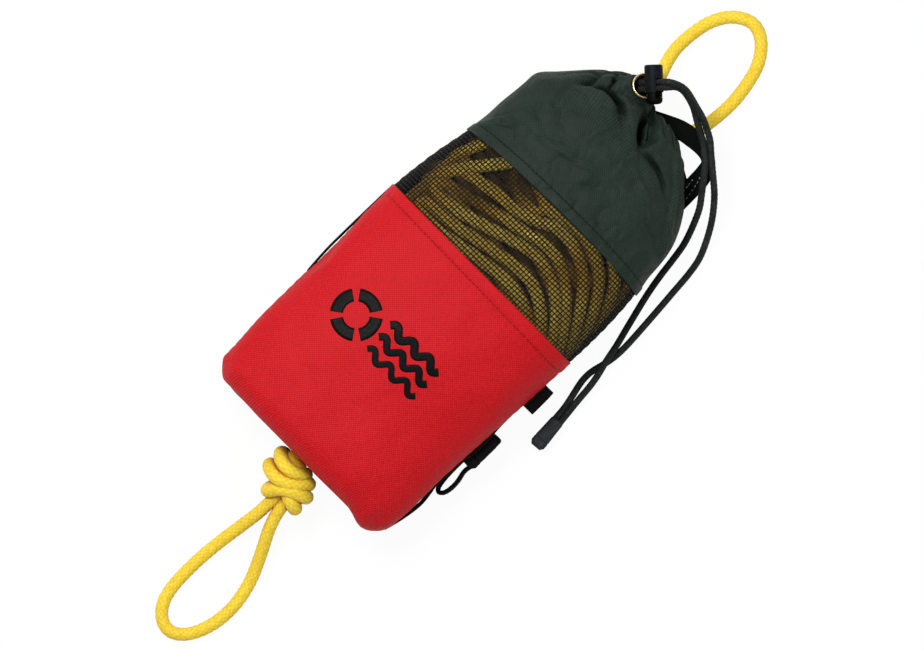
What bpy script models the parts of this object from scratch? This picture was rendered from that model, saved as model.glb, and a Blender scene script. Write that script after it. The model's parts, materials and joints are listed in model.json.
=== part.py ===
"""Throw rope bag lying on its back: a stuffed drawstring bag with rope loops at both ends.

Metres, +Z up. +X runs from the base to the mouth, +Y to the bag's left side, z = 0 is the resting plane.
"""
import math

import bmesh
import bpy
from mathutils import Matrix, Vector

MM = 0.001
FABRIC = 1.6  # thickness of a fabric panel, mm
GAP = 0.4  # clearance between touching pieces, mm
ROPE_R = 4.65  # throw rope, 3/8 in
CORD_R = 2.0  # drawcord
BASE_X = -180.0  # bottom edge of the bag
CORNER_R = 16.0  # rounding of the bottom edge
BASE_PANEL_X = -176.6
BASE_HOLE = (0.0, 34.0)  # y, z of the base grommet
SEAM_Z = 37.0  # height of the side seams
HEM_X = 2.6  # front panel's hem, where the mesh window starts
SIDE_COLLAR_X = 67.5  # collar's lower edge at the seams
COLLAR_RISE = 4.6  # and how much farther it is on the front's centreline
MOUTH_FRONT_X = 176.0
MOUTH_BACK_X = 158.0
GROMMET_HOLE_R = 5.6
GROMMET_R = 9.3
MOUTH_GROMMET = Vector((176.5, 9.0, 43.6))
MOUTH_TILT = math.radians(18)
CORD_START = Vector((175.3, 10.2, 41.0))
CORD_DIR = Vector((0.40, -0.383, 0.83)).normalized()
LOCK_AXIS = Vector((0.69, 0.72, 0.0)).normalized()
LOCK_AT = 14.5  # along the cord
LOCK_R = 6.5
LOCK_LENGTH = 19.5
LOCK_REACH = 5.0  # from the barrel's open end to the cord
BUTTON_TRAVEL = 3.0
BUCKLE_Y = (-94.2, -85.9)
BUCKLE_Z = (3.0, 30.0)
HANDLE_HINGE_X = -216.0
LOOP_HINGE_X = 214.0
LOOP_CLEARANCE = 2.8  # from the throw loop's hinge to either rope's end
TAIL_HINGE = (173.3, -60.8)

# x, left edge y, right edge y, top z, underside z of the stuffed bag
STATIONS = (
    (-180, 86, -81, 70, 0),
    (-150, 87, -82.5, 75, 0),
    (-85, 88, -84.5, 79, 0),
    (-30, 88, -87.5, 80, 0),
    (5, 87, -89.5, 80, 0),
    (40, 82, -90, 78, 0),
    (70, 76, -88.5, 76, 0),
    (100, 73, -85, 74, 0),
    (120, 71.5, -77.5, 69, 1),
    (131, 69.5, -71, 65.5, 3),
    (142, 60, -64, 61, 5),
    (152, 49.5, -56.5, 56, 8),
    (163, 39, -38, 49.5, 12),
    (170, 29, -26, 45, 14),
    (178, 18, -13, 42, 16),
)


def clear_scene():
    for obj in list(bpy.data.objects):
        bpy.data.objects.remove(obj, do_unlink=True)


def new_collection(name):
    found = bpy.data.collections.new(name)
    bpy.context.scene.collection.children.link(found)
    return found


def material(name, colour, roughness, metallic=0.0):
    mat = bpy.data.materials.new(name)
    mat.use_nodes = True
    bsdf = mat.node_tree.nodes["Principled BSDF"]
    bsdf.inputs["Base Color"].default_value = (*colour, 1.0)
    bsdf.inputs["Roughness"].default_value = roughness
    bsdf.inputs["Metallic"].default_value = metallic
    mat.diffuse_color = (*colour, 1.0)
    return mat


def keep(mesh, name, mat, origin=(0, 0, 0), smooth=True):
    """A named object of this mesh in the bag's collection, with its origin moved to a point in mm."""
    at = Vector(origin) * MM
    mesh.transform(Matrix.Translation(-at))
    obj = bpy.data.objects.new(name, mesh)
    obj.location = at
    mesh.materials.clear()
    mesh.materials.append(mat)
    PARTS.objects.link(obj)
    if smooth:
        mesh.shade_smooth()
        mesh.set_sharp_from_angle(angle=math.radians(40))
    return obj


def outward(bm):
    bmesh.ops.remove_doubles(bm, verts=bm.verts, dist=1e-7)
    bmesh.ops.recalc_face_normals(bm, faces=bm.faces)


def from_bmesh(bm, name):
    mesh = bpy.data.meshes.new(name)
    bm.to_mesh(mesh)
    bm.free()
    return mesh


def smooth_value(x, column):
    """Value of a station column at x, through the stations with matching slopes."""
    rows = [(s[0], s[column]) for s in STATIONS]
    if x <= rows[0][0]:
        return rows[0][1]
    for i in range(len(rows) - 1):
        if x <= rows[i + 1][0]:
            break
    else:
        return rows[-1][1]

    def slope(k):
        a = rows[max(k - 1, 0)]
        b = rows[min(k + 1, len(rows) - 1)]
        return (b[1] - a[1]) / (b[0] - a[0])

    (x0, y0), (x1, y1) = rows[i], rows[i + 1]
    span = x1 - x0
    t = (x - x0) / span
    return (
        y0 * (2 * t**3 - 3 * t**2 + 1)
        + slope(i) * span * (t**3 - 2 * t**2 + t)
        + y1 * (3 * t**2 - 2 * t**3)
        + slope(i + 1) * span * (t**3 - t**2)
    )


def section(x, angle, inset):
    """A point of the bag's skin at x. The angle in degrees runs from the left seam over the top."""
    left = smooth_value(x, 1) - inset
    right = smooth_value(x, 2) + inset
    top = smooth_value(x, 3) - inset
    low = max(smooth_value(x, 4), 0.0) + inset
    mid = SEAM_Z if x < 100 else SEAM_Z - (x - 100) * 0.08
    c = math.cos(math.radians(angle))
    s = math.sin(math.radians(angle))
    y = (left + right) / 2 + (left - right) / 2 * math.copysign(abs(c) ** 0.85, c)
    if s >= 0:
        return Vector((x, y, mid + (top - mid) * s**0.85))
    deep = mid - low + (5 if x < 100 else max(0, 5 - (x - 100) / 8))
    return Vector((x, y, max(mid - deep * abs(s) ** 0.92, low)))


def rows_from_base(last, count):
    """Rows (x, inset) from the base round its corner and on to x = last."""
    rows = []
    for i in range(4):
        turn = math.radians(90 * i / 4)
        rows.append((BASE_X + CORNER_R * (1 - math.cos(turn)), CORNER_R * (1 - math.sin(turn))))
    first = BASE_X + CORNER_R
    for i in range(count + 1):
        rows.append((first + (last - first) * i / count, 0.0))
    return rows


def skin(name, grid, closed, thickness=FABRIC):
    """A fabric panel from rows of outer points, thickened inwards."""
    bm = bmesh.new()
    verts = [[bm.verts.new(p * MM) for p in row] for row in grid]
    n = len(grid[0])
    for a, b in zip(verts, verts[1:]):
        for j in range(n if closed else n - 1):
            bm.faces.new((a[j], a[(j + 1) % n], b[(j + 1) % n], b[j]))
    mesh = from_bmesh(bm, name)
    obj = keep(mesh, name, MATERIALS[name])
    solid = obj.modifiers.new("thickness", "SOLIDIFY")
    solid.thickness = thickness * MM
    solid.offset = -1
    return obj


def half_angles(front, count):
    first = 3.0 if front else 183.0
    return [first + 174.0 * i / count for i in range(count + 1)]


def collar_edge(angle):
    """x of the collar's lower edge: bowed towards the mouth on the front."""
    if angle >= 180:
        return SIDE_COLLAR_X
    return SIDE_COLLAR_X + COLLAR_RISE * math.sin(math.radians(angle)) ** 1.5


def solid_of_rows(name, rows, angles):
    """A closed body through sections (x, inset), with flat ends."""
    bm = bmesh.new()
    verts = [[bm.verts.new(section(x, a, inset) * MM) for a in angles] for x, inset in rows]
    n = len(angles)
    for a, b in zip(verts, verts[1:]):
        for j in range(n):
            bm.faces.new((a[j], b[j], b[(j + 1) % n], a[(j + 1) % n]))
    bm.faces.new(list(reversed(verts[0])))
    bm.faces.new(verts[-1])
    outward(bm)
    return keep(from_bmesh(bm, name), name, MATERIALS[name])


def curve_through(points, per_span):
    """Points of a smooth path through these, with per_span steps between two."""
    pts = [Vector(p) for p in points]
    out = []
    for i in range(len(pts) - 1):
        p0 = pts[max(i - 1, 0)]
        p1, p2 = pts[i], pts[i + 1]
        p3 = pts[min(i + 2, len(pts) - 1)]
        for k in range(per_span):
            t = k / per_span
            out.append(
                0.5
                * (
                    2 * p1
                    + (p2 - p0) * t
                    + (2 * p0 - 5 * p1 + 4 * p2 - p3) * t * t
                    + (3 * p1 - p0 - 3 * p2 + p3) * t**3
                )
            )
    out.append(pts[-1])
    return out


def tube(name, points, radius, origin=(0, 0, 0), resolution=2):
    """A round cord or rope along a path, as a mesh with closed ends."""
    data = bpy.data.curves.new(name, "CURVE")
    data.dimensions = "3D"
    data.bevel_depth = radius * MM
    data.bevel_resolution = resolution
    data.use_fill_caps = True
    spline = data.splines.new("POLY")
    spline.points.add(len(points) - 1)
    for point, at in zip(spline.points, points):
        point.co = (*(Vector(at) * MM), 1.0)
    guide = bpy.data.objects.new(name + "_path", data)
    bpy.context.scene.collection.objects.link(guide)
    bpy.context.view_layer.update()
    graph = bpy.context.evaluated_depsgraph_get()
    mesh = bpy.data.meshes.new_from_object(guide.evaluated_get(graph), depsgraph=graph)
    bm = bmesh.new()
    bm.from_mesh(mesh)
    outward(bm)
    bm.to_mesh(mesh)
    bm.free()
    bpy.data.objects.remove(guide)
    mesh.name = name
    return keep(mesh, name, MATERIALS[name], origin)


def ribbon(name, points, across, thickness, origin=(0, 0, 0)):
    """Flat webbing: a path in mm, its width vector at every point, and a thickness."""
    bm = bmesh.new()
    pairs = []
    for i, p in enumerate(points):
        half = Vector(across[i] if isinstance(across[0], tuple) else across) / 2
        pairs.append((bm.verts.new((Vector(p) - half) * MM), bm.verts.new((Vector(p) + half) * MM)))
    for (a, b), (c, d) in zip(pairs, pairs[1:]):
        bm.faces.new((a, b, d, c))
    obj = keep(from_bmesh(bm, name), name, MATERIALS[name], origin)
    solid = obj.modifiers.new("thickness", "SOLIDIFY")
    solid.thickness = thickness * MM
    solid.offset = 0
    return obj


def turned(name, profile, steps, at, axis, origin=None):
    """A turned ring or pin put at a point along an axis; profile is (radius, height), outer side down."""
    mesh = bpy.data.meshes.new(name)
    bm = bmesh.new()
    verts = [bm.verts.new((r * MM, 0, h * MM)) for r, h in profile]
    pairs = list(zip(verts, verts[1:]))
    if profile[0][0] > 0:
        pairs.append((verts[-1], verts[0]))
    for a, b in pairs:
        bm.edges.new((a, b))
    bm.to_mesh(mesh)
    bm.free()
    obj = bpy.data.objects.new(name, mesh)
    PARTS.objects.link(obj)
    mesh.materials.append(MATERIALS[name])
    screw = obj.modifiers.new("turn", "SCREW")
    screw.steps = steps
    screw.render_steps = steps
    screw.use_merge_vertices = True
    screw.merge_threshold = 0.00001
    screw.use_smooth_shade = True
    turn = Vector((0, 0, 1)).rotation_difference(Vector(axis))
    obj.rotation_mode = "QUATERNION"
    obj.rotation_quaternion = turn
    obj.location = Vector(at) * MM
    return obj


def cutter(name, mesh):
    obj = bpy.data.objects.new(name, mesh)
    CUTTERS.objects.link(obj)
    obj.hide_render = True
    obj.display_type = "WIRE"
    return obj


def box_mesh(name, low, high, bevel=0.0, segments=2):
    bm = bmesh.new()
    bmesh.ops.create_cube(bm, size=1.0)
    size = Vector(high) - Vector(low)
    middle = (Vector(high) + Vector(low)) / 2
    bmesh.ops.scale(bm, vec=size * MM, verts=bm.verts)
    bmesh.ops.translate(bm, vec=middle * MM, verts=bm.verts)
    if bevel:
        bmesh.ops.bevel(
            bm, geom=bm.edges[:], offset=bevel * MM, segments=segments, affect="EDGES", profile=0.5
        )
    return from_bmesh(bm, name)


def rod_mesh(name, start, end, radius, segments=20):
    """A plain cylinder from one point to another."""
    a, b = Vector(start), Vector(end)
    bm = bmesh.new()
    bmesh.ops.create_cone(
        bm,
        cap_ends=True,
        segments=segments,
        radius1=radius * MM,
        radius2=radius * MM,
        depth=(b - a).length * MM,
    )
    turn = Vector((0, 0, 1)).rotation_difference(b - a).to_matrix().to_4x4()
    bmesh.ops.transform(bm, matrix=Matrix.Translation((a + b) / 2 * MM) @ turn, verts=bm.verts)
    return from_bmesh(bm, name)


def boolean(obj, other, operation):
    mod = obj.modifiers.new(operation.lower() + "_" + other.name, "BOOLEAN")
    mod.operation = operation
    mod.object = other
    return mod


def grommet(name, at, axis, steps=18):
    """Rolled flange with the short neck that goes through the cloth."""
    profile = (
        (GROMMET_HOLE_R, 1.0),
        (GROMMET_HOLE_R + 1.0, 1.7),
        (GROMMET_R - 0.9, 1.5),
        (GROMMET_R, 0.5),
        (GROMMET_R - 0.4, 0.0),
        (GROMMET_HOLE_R + 0.9, 0.0),
        (GROMMET_HOLE_R + 0.9, -3.0),
        (GROMMET_HOLE_R, -3.0),
    )
    return turned(name, profile, steps, at, axis)


def washer(name, at, axis, steps=18):
    inner = GROMMET_HOLE_R + 1.3
    profile = ((inner, 0.0), (GROMMET_R - 0.3, 0.0), (GROMMET_R - 0.3, -0.8), (inner, -0.8))
    return turned(name, profile, steps, at, axis)


def bag_panels():
    angles = half_angles(True, 14)
    rows = rows_from_base(HEM_X, 8)
    skin("front_panel", [[section(x, a, i) for a in angles] for x, i in rows], False)

    back = half_angles(False, 14)
    rows = rows_from_base(SIDE_COLLAR_X - GAP, 9)
    skin("back_panel", [[section(x, a, i) for a in back] for x, i in rows], False)

    steps = 5
    grid = []
    for k in range(steps + 1):
        row = []
        for a in angles:
            start = HEM_X + GAP
            end = collar_edge(a) - GAP
            row.append(section(start + (end - start) * k / steps, a, 0.0))
        grid.append(row)
    skin("mesh_window", grid, False)

    around = [360.0 * i / 28 for i in range(28)]
    grid = []
    steps = 9
    for k in range(steps + 1):
        row = []
        for a in around:
            rim = MOUTH_BACK_X + (MOUTH_FRONT_X - MOUTH_BACK_X) * (1 + math.sin(math.radians(a))) / 2
            start = collar_edge(a)
            u = k / steps
            row.append(section(start + (rim - start) * u ** 0.9, a, 0.0))
        grid.append(row)
    collar = skin("collar", grid, True)
    axis = Vector((math.sin(MOUTH_TILT), 0, math.cos(MOUTH_TILT)))
    seat = rod_mesh("mouth_seat", MOUTH_GROMMET - axis * 4.4, MOUTH_GROMMET + axis * 6, GROMMET_R + 0.7)
    boolean(collar, cutter("mouth_seat", seat), "DIFFERENCE")


def base_panel():
    outline = [360.0 * i / 32 for i in range(32)]
    x0 = BASE_PANEL_X
    panel = solid_of_rows(
        "base_panel",
        [(x0, CORNER_R + FABRIC + GAP + 1.2), (x0 + FABRIC, CORNER_R + FABRIC + GAP - 1.0)],
        outline,
    )
    y, z = BASE_HOLE
    hole = rod_mesh("base_hole", (x0 - 6, y, z), (x0 + 6, y, z), GROMMET_HOLE_R + 1.2)
    boolean(panel, cutter("base_hole", hole), "DIFFERENCE")
    grommet("base_grommet", (x0 - GAP, y, z), (-1, 0, 0))
    washer("base_washer", (x0 + FABRIC + GAP, y, z), (-1, 0, 0)).location.x += 0.8 * MM

    foam = solid_of_rows("foam_float", [(-168, 10), (-166, 7), (-158, 6), (-156, 9)], outline[::2])
    bore = rod_mesh("foam_hole", (-172, y, z), (-150, y, z), ROPE_R + 2.2, 16)
    boolean(foam, cutter("foam_hole", bore), "DIFFERENCE")

    solid_of_rows(
        "stowed_rope",
        [(-153, 16), (-147, 8), (-90, 5), (-20, 5), (40, 5), (95, 6), (116, 10), (124, 22)],
        outline[::2],
    )
    tube("base_rope", [(-180.2, y, z), (-168, y, z), (-154.5, y, z)], ROPE_R)


def seam_tapes():
    for name, side, first, last, proud in (
        ("binding_left", 1, -158, 0, 1.6),
        ("binding_right", 2, -172, -48, 2.6),
    ):
        steps = 12
        low_row, high_row = [], []
        bm = bmesh.new()
        pairs = []
        for i in range(steps + 1):
            x = first + (last - first) * i / steps
            edge = smooth_value(x, side)
            if x < BASE_X + CORNER_R:
                edge -= math.copysign(3.2, edge)
            out = math.copysign(proud * math.sin(math.pi * (0.12 + 0.76 * i / steps)), edge)
            inner = math.copysign(4.5, edge)
            pairs.append(
                (
                    bm.verts.new(Vector((x, edge + out, SEAM_Z)) * MM),
                    bm.verts.new(Vector((x, edge - inner, SEAM_Z)) * MM),
                )
            )
        for (a, b), (c, d) in zip(pairs, pairs[1:]):
            bm.faces.new((a, b, d, c))
        obj = keep(from_bmesh(bm, name), name, MATERIALS[name])
        solid = obj.modifiers.new("thickness", "SOLIDIFY")
        solid.thickness = 2.2 * MM
        solid.offset = 0
    mesh = box_mesh("side_tab", (-43, -95, SEAM_Z - 1.3), (-21, -84.5, SEAM_Z + 1.3))
    keep(mesh, "side_tab", MATERIALS["side_tab"], smooth=False)


def ropes():
    y, z = BASE_HOLE
    centre = Vector((-197, -3, 31))
    # Knot: two wraps round a core, with the ends of the turns standing out of it.
    core = rod_mesh("handle_knot", (-209, centre.y, centre.z), (-184, centre.y, centre.z), 13.4, 16)
    knot = keep(core, "handle_knot", MATERIALS["handle_knot"])
    for i, x in enumerate((-198.2, -187.2)):
        bm = bmesh.new()
        bmesh.ops.create_circle(bm, segments=8, radius=5.9 * MM)
        bmesh.ops.translate(bm, vec=(13.1 * MM, 0, 0), verts=bm.verts)
        bmesh.ops.rotate(bm, matrix=Matrix.Rotation(math.pi / 2, 3, "X"), verts=bm.verts)
        bmesh.ops.spin(
            bm, geom=bm.verts[:] + bm.edges[:], axis=(0, 0, 1), cent=(0, 0, 0),
            angle=2 * math.pi, steps=18, use_merge=True,
        )
        outward(bm)
        turn = Matrix.Translation(Vector((x, centre.y, centre.z)) * MM) @ Matrix.Rotation(
            math.pi / 2, 4, "Y"
        )
        bmesh.ops.transform(bm, matrix=turn, verts=bm.verts)
        boolean(knot, cutter(f"wrap_{i}", from_bmesh(bm, f"wrap_{i}")), "UNION")
    lobes = (
        ((-208, -1, 33), 6.2),
        ((-205, -21.5, 28), 6.0),
        ((-195, -23.5, 31), 5.6),
    )
    for i, (at, r) in enumerate(lobes):
        bm = bmesh.new()
        bmesh.ops.create_uvsphere(bm, u_segments=10, v_segments=7, radius=r * MM)
        bmesh.ops.translate(bm, vec=Vector(at) * MM, verts=bm.verts)
        boolean(knot, cutter(f"lobe_{i}", from_bmesh(bm, f"lobe_{i}")), "UNION")

    start = HANDLE_HINGE_X - 2.0
    handle = curve_through(
        (
            (start, -7.8, 24.5), (-227, -7.3, 19.5), (-242, -5.2, 11.5), (-262, -2.2, 5.8),
            (-285, -0.3, 4.9), (-307, -1.0, 4.9), (-320, -5, 4.9), (-328, -13, 4.9),
            (-329, -23, 4.9), (-321, -32.5, 4.9), (-305, -39.3, 4.9), (-286, -41, 4.9),
            (-266, -37.4, 5.2), (-247, -29.5, 10.5), (-230, -21.5, 18.5), (start, -17.6, 24.5),
        ),
        2,
    )
    tube("handle_loop", handle, ROPE_R, (HANDLE_HINGE_X, -12.7, 24.5))

    hinge = LOOP_HINGE_X
    neck = curve_through(
        (
            (hinge - LOOP_CLEARANCE, 11.6, 8.0), (202, 10.2, 12.0), (190, 6.3, 18.5), (176, 2, 24),
            (158, -2, 28), (142, -6, 29), (133, -12, 29), (136, -20, 28.5),
            (148, -22.5, 26.5), (160, -24.6, 21.3), (168, -29.8, 14), (177.5, -37, 7.4), (190, -41.4, 5.0),
            (hinge - LOOP_CLEARANCE, -43, 4.9),
        ),
        2,
    )
    tube("throw_rope", neck, ROPE_R)
    loop = curve_through(
        (
            (hinge + LOOP_CLEARANCE, 11.9, 7.0), (230, 10.5, 5.4), (243, 7, 4.8), (255, -1, 4.8),
            (261.6, -13, 4.8), (259, -24, 4.8), (250, -33.2, 4.8), (237, -39.3, 4.8),
            (hinge + LOOP_CLEARANCE, -42.6, 4.8),
        ),
        2,
    )
    tube("throw_loop", loop, ROPE_R, (hinge, -15.5, 6.4))


def drawcord():
    side = LOCK_AXIS * (CORD_R + 0.25)
    tip = CORD_START + CORD_DIR * 29
    # Both strands run straight through the lock, over the mouth's edge and down beside the bag.
    over = [
        CORD_START, CORD_START + CORD_DIR * 14, tip,
        Vector((191.5, -4.8, 67)), Vector((194.8, -11.5, 62.5)), Vector((194.6, -20.5, 53)),
        Vector((191.6, -30, 43)), Vector((186.5, -41, 35)), Vector((180.3, -51, 32)),
        Vector((174.2, -59.2, 31)),
    ]
    path = curve_through(over, 2)
    for name, sign in (("drawcord_a", 1), ("drawcord_b", -1)):
        points = []
        for i, p in enumerate(path):
            along = path[min(i + 1, len(path) - 1)] - path[max(i - 1, 0)]
            flat = Vector((-along.y, along.x, 0)).normalized() * (CORD_R + 0.3)
            blend = min(max((i - 4) / 5, 0), 1)
            points.append(p + (side * (1 - blend) + flat * blend) * sign)
        tube(name, points, CORD_R, resolution=1)

    outer = (
        (174.4, -63.5, 31), (168, -71, 29.5), (159.5, -78, 25), (147, -87.5, 17), (131, -96.6, 9),
        (113, -103.4, 4), (88, -106.3, 2.3), (58, -108.4, 2.2), (36, -109.4, 2.2), (20, -107.6, 2.2),
        (5, -103.8, 2.3), (-12, -107, 4.2), (-35.5, -109.3, 5.4),
    )
    inner = (
        (170.4, -61.1, 31), (162.5, -66.8, 30), (150, -73.6, 26), (135, -81, 17), (118, -87.3, 9),
        (98, -91.4, 4), (75, -94.6, 2.3), (50, -100.2, 2.6), (32, -103.4, 5.2), (20, -106.6, 6.9),
        (5, -110.6, 6.2), (-12, -112.6, 5.4), (-35.5, -113.7, 5.4),
    )
    origin = (*TAIL_HINGE, 31)
    tube("drawcord_tail_a", curve_through(outer, 2), CORD_R, origin, 1)
    tube("drawcord_tail_b", curve_through(inner, 2), CORD_R, origin, 1)

    hem = []
    for i in range(19):
        angle = 130 + 280.0 * i / 18
        x = 150 + 7 * (1 + math.sin(math.radians(angle))) / 2
        hem.append(section(x, angle, 7.5))
    tube("drawcord_hem", hem, CORD_R, resolution=1)

    # Cord end: a tapered body with a chamfered cap, axis slightly turned from -X.
    along = Vector((-1, -0.07, 0)).normalized()
    at = Vector((-36, -111.5, 5.5))
    body = ((0.0, 0.0), (4.6, 0.0), (5.3, -1.0), (5.0, -16.0), (0.0, -16.0))
    turned("cord_end", body, 14, at, -along)
    cap = ((0.0, 0.0), (5.3, 0.0), (5.3, -3.6), (3.6, -6.6), (0.0, -6.6))
    turned("cord_end_cap", cap, 14, at + along * 16.4, -along)


def cord_lock():
    centre = CORD_START + CORD_DIR * LOCK_AT
    near = centre - LOCK_AXIS * LOCK_REACH
    # Barrel: a cup closed at its far end and open towards the button.
    wall = LOCK_R - 1.7
    deep = LOCK_LENGTH - 1.7
    tip = 11.5
    barrel = turned(
        "lock_barrel",
        (
            (0.0, LOCK_LENGTH), (LOCK_R - 1.2, LOCK_LENGTH), (LOCK_R, LOCK_LENGTH - 1.2),
            (LOCK_R, 0.0), (wall, 0.0), (wall, deep), (0.0, deep),
        ),
        20, near, LOCK_AXIS,
    )
    slot = bpy.data.meshes.new("cord_slot")
    bm = bmesh.new()
    bmesh.ops.create_cube(bm, size=1.0)
    bmesh.ops.scale(bm, vec=(Vector((9.0, 4.8, 20)) * MM), verts=bm.verts)
    bmesh.ops.bevel(bm, geom=bm.edges[:], offset=1.4 * MM, segments=1, affect="EDGES")
    bm.to_mesh(slot)
    bm.free()
    cross = CORD_DIR.cross(LOCK_AXIS).normalized()
    frame = Matrix((LOCK_AXIS, cross, CORD_DIR)).transposed().to_4x4()
    slot.transform(Matrix.Translation(centre * MM) @ frame)
    hole = cutter("cord_slot", slot)
    boolean(barrel, hole, "DIFFERENCE")
    # Plunger: button outside, stem inside, with its own hole in line with the barrel's.
    stem = wall - 0.35
    button = turned(
        "lock_plunger",
        (
            (0.0, tip), (stem - 0.5, tip), (stem, tip - 0.5), (stem, -1.0 - BUTTON_TRAVEL),
            (LOCK_R, -1.0 - BUTTON_TRAVEL), (LOCK_R, -4.2 - BUTTON_TRAVEL),
            (LOCK_R - 1.3, -5.4 - BUTTON_TRAVEL),
            (0.0, -5.4 - BUTTON_TRAVEL),
        ),
        20, near, LOCK_AXIS,
    )
    long_slot = slot.copy()
    stretch = Matrix.Translation(LOCK_AXIS * (-BUTTON_TRAVEL - 0.1) * MM)
    long_slot.transform(stretch)
    boolean(button, cutter("plunger_slot", long_slot), "DIFFERENCE")
    first = cutter("plunger_slot_rest", slot.copy())
    boolean(button, first, "DIFFERENCE")
    turns = 4
    coil = []
    for i in range(turns * 8 + 1):
        a = 2 * math.pi * i / 8
        up = deep - 0.6 - (deep - tip - 1.2) * i / (turns * 8)
        coil.append(near + LOCK_AXIS * up + (cross * math.cos(a) + CORD_DIR * math.sin(a)) * 2.6)
    tube("lock_spring", coil, 0.32, resolution=1)


def webbing():
    width = (9.0, -4.0, 15.5)
    ribbon(
        "carry_loop",
        curve_through(
            (
                (172.5, -19, 20), (176.5, -28, 20.5), (178, -38, 20.6), (176.5, -49, 20), (171.5, -58, 19),
                (162, -63.8, 17.5), (149, -66.2, 15.5),
            ),
            2,
        ),
        [
            (-6.0, -2.0, 15.0), (-7, -1.5, 15.0), (-7.8, -1.0, 15.0), (-8.4, -0.4, 15.0), (-8.8, 0.4, 15.0),
            (-9.0, 1.4, 15.0), (-8.8, 2.4, 15.0), (-8.0, 4, 15.0), (-7.0, 6, 14.5), (-5.0, 8, 14.0),
            (-2.5, 9.0, 13.5), (-1.0, 9.0, 13.0), (0.0, 9.0, 12.0),
        ],
        1.8,
    )
    tall = (0, 0, 22)
    ribbon(
        "buckle_loop",
        [
            (x, y - 1.0, 16)
            for x, y in (
                (-99.3, -85.2), (-108, -84.6), (-118, -84), (-124.5, -84.2), (-128, -86), (-128.2, -88.4),
                (-125.5, -90.6), (-119, -91.8), (-112, -91.3), (-105, -90.2), (-99.3, -90.8),
            )
        ],
        tall,
        1.8,
    )
    ribbon("socket_strap", [(-70.1, -84.2, 10), (-64, -84.2, 10), (-57, -84.2, 10)], (0, 0, 16), 1.4)


def buckle():
    y0, y1 = BUCKLE_Y
    z0, z1 = BUCKLE_Z
    mid_y, mid_z = (y0 + y1) / 2, (z0 + z1) / 2
    socket = keep(
        box_mesh("buckle_socket", (-91.2, y0, z0), (-70.5, y1, z1), 1.8, 2),
        "buckle_socket", MATERIALS["buckle_socket"], (-91.2, mid_y, mid_z),
    )
    # Mouth that takes the prongs, and the openings in both edges where they are pinched.
    mouth = box_mesh("socket_mouth", (-95, mid_y - 2.3, mid_z - 10.5), (-77, mid_y + 2.3, mid_z + 10.5))
    boolean(socket, cutter("socket_mouth", mouth), "DIFFERENCE")
    for i, z in enumerate((z0, z1)):
        pinch = box_mesh(f"pinch_{i}", (-86, mid_y - 2.3, z - 6), (-78.5, mid_y + 2.3, z + 6))
        boolean(socket, cutter(f"pinch_{i}", pinch), "DIFFERENCE")
    plug = keep(
        box_mesh("buckle_plug", (-98.6, y0, z0 + 0.8), (-91.6, y1, z1 - 0.8), 1.2, 1),
        "buckle_plug", MATERIALS["buckle_plug"],
    )
    for i, z in enumerate((mid_z - 8.2, mid_z + 8.2)):
        prong = box_mesh(f"prong_{i}", (-93, mid_y - 1.9, z - 1.8), (-78, mid_y + 1.9, z + 1.8), 0.8, 1)
        boolean(plug, cutter(f"prong_{i}", prong), "UNION")
    slot = box_mesh("plug_slot", (-96.6, y0 - 2, mid_z - 11.2), (-94.0, y1 + 2, mid_z + 11.2))
    boolean(plug, cutter("plug_slot", slot), "DIFFERENCE")


clear_scene()
PARTS = new_collection("throw_rope_bag")
CUTTERS = new_collection("cutters")
RED = (0.58, 0.012, 0.022)
GREEN = (0.030, 0.042, 0.037)
BLACK = (0.012, 0.012, 0.013)
YELLOW = (0.82, 0.62, 0.035)
CORD = (0.018, 0.019, 0.021)
PLASTIC = (0.02, 0.02, 0.022)
BRASS = (0.72, 0.52, 0.24)
MATERIALS = {
    "front_panel": material("front_panel", RED, 0.75),
    "mesh_window": material("mesh_window", (0.03, 0.028, 0.02), 0.7),
    "collar": material("collar", GREEN, 0.6),
    "back_panel": material("back_panel", BLACK, 0.75),
    "base_panel": material("base_panel", BLACK, 0.75),
    "binding_left": material("binding_left", BLACK, 0.8),
    "binding_right": material("binding_right", BLACK, 0.8),
    "side_tab": material("side_tab", BLACK, 0.8),
    "base_grommet": material("base_grommet", BRASS, 0.28, 1.0),
    "base_washer": material("base_washer", BRASS, 0.35, 1.0),
    "mouth_grommet": material("mouth_grommet", BRASS, 0.28, 1.0),
    "mouth_washer": material("mouth_washer", BRASS, 0.35, 1.0),
    "foam_float": material("foam_float", (0.6, 0.6, 0.58), 0.9),
    "stowed_rope": material("stowed_rope", YELLOW, 0.7),
    "base_rope": material("base_rope", YELLOW, 0.7),
    "handle_knot": material("handle_knot", YELLOW, 0.7),
    "handle_loop": material("handle_loop", YELLOW, 0.7),
    "throw_rope": material("throw_rope", YELLOW, 0.7),
    "throw_loop": material("throw_loop", YELLOW, 0.7),
    "drawcord_a": material("drawcord_a", CORD, 0.8),
    "drawcord_b": material("drawcord_b", CORD, 0.8),
    "drawcord_tail_a": material("drawcord_tail_a", CORD, 0.8),
    "drawcord_tail_b": material("drawcord_tail_b", CORD, 0.8),
    "drawcord_hem": material("drawcord_hem", CORD, 0.8),
    "cord_end": material("cord_end", (0.055, 0.06, 0.062), 0.45),
    "cord_end_cap": material("cord_end_cap", (0.055, 0.06, 0.062), 0.45),
    "lock_barrel": material("lock_barrel", (0.04, 0.042, 0.046), 0.4),
    "lock_plunger": material("lock_plunger", PLASTIC, 0.4),
    "lock_spring": material("lock_spring", (0.6, 0.6, 0.62), 0.3, 1.0),
    "carry_loop": material("carry_loop", BLACK, 0.8),
    "buckle_loop": material("buckle_loop", BLACK, 0.8),
    "socket_strap": material("socket_strap", BLACK, 0.8),
    "buckle_socket": material("buckle_socket", PLASTIC, 0.4),
    "buckle_plug": material("buckle_plug", PLASTIC, 0.4),
}
bag_panels()
base_panel()
seam_tapes()
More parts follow.
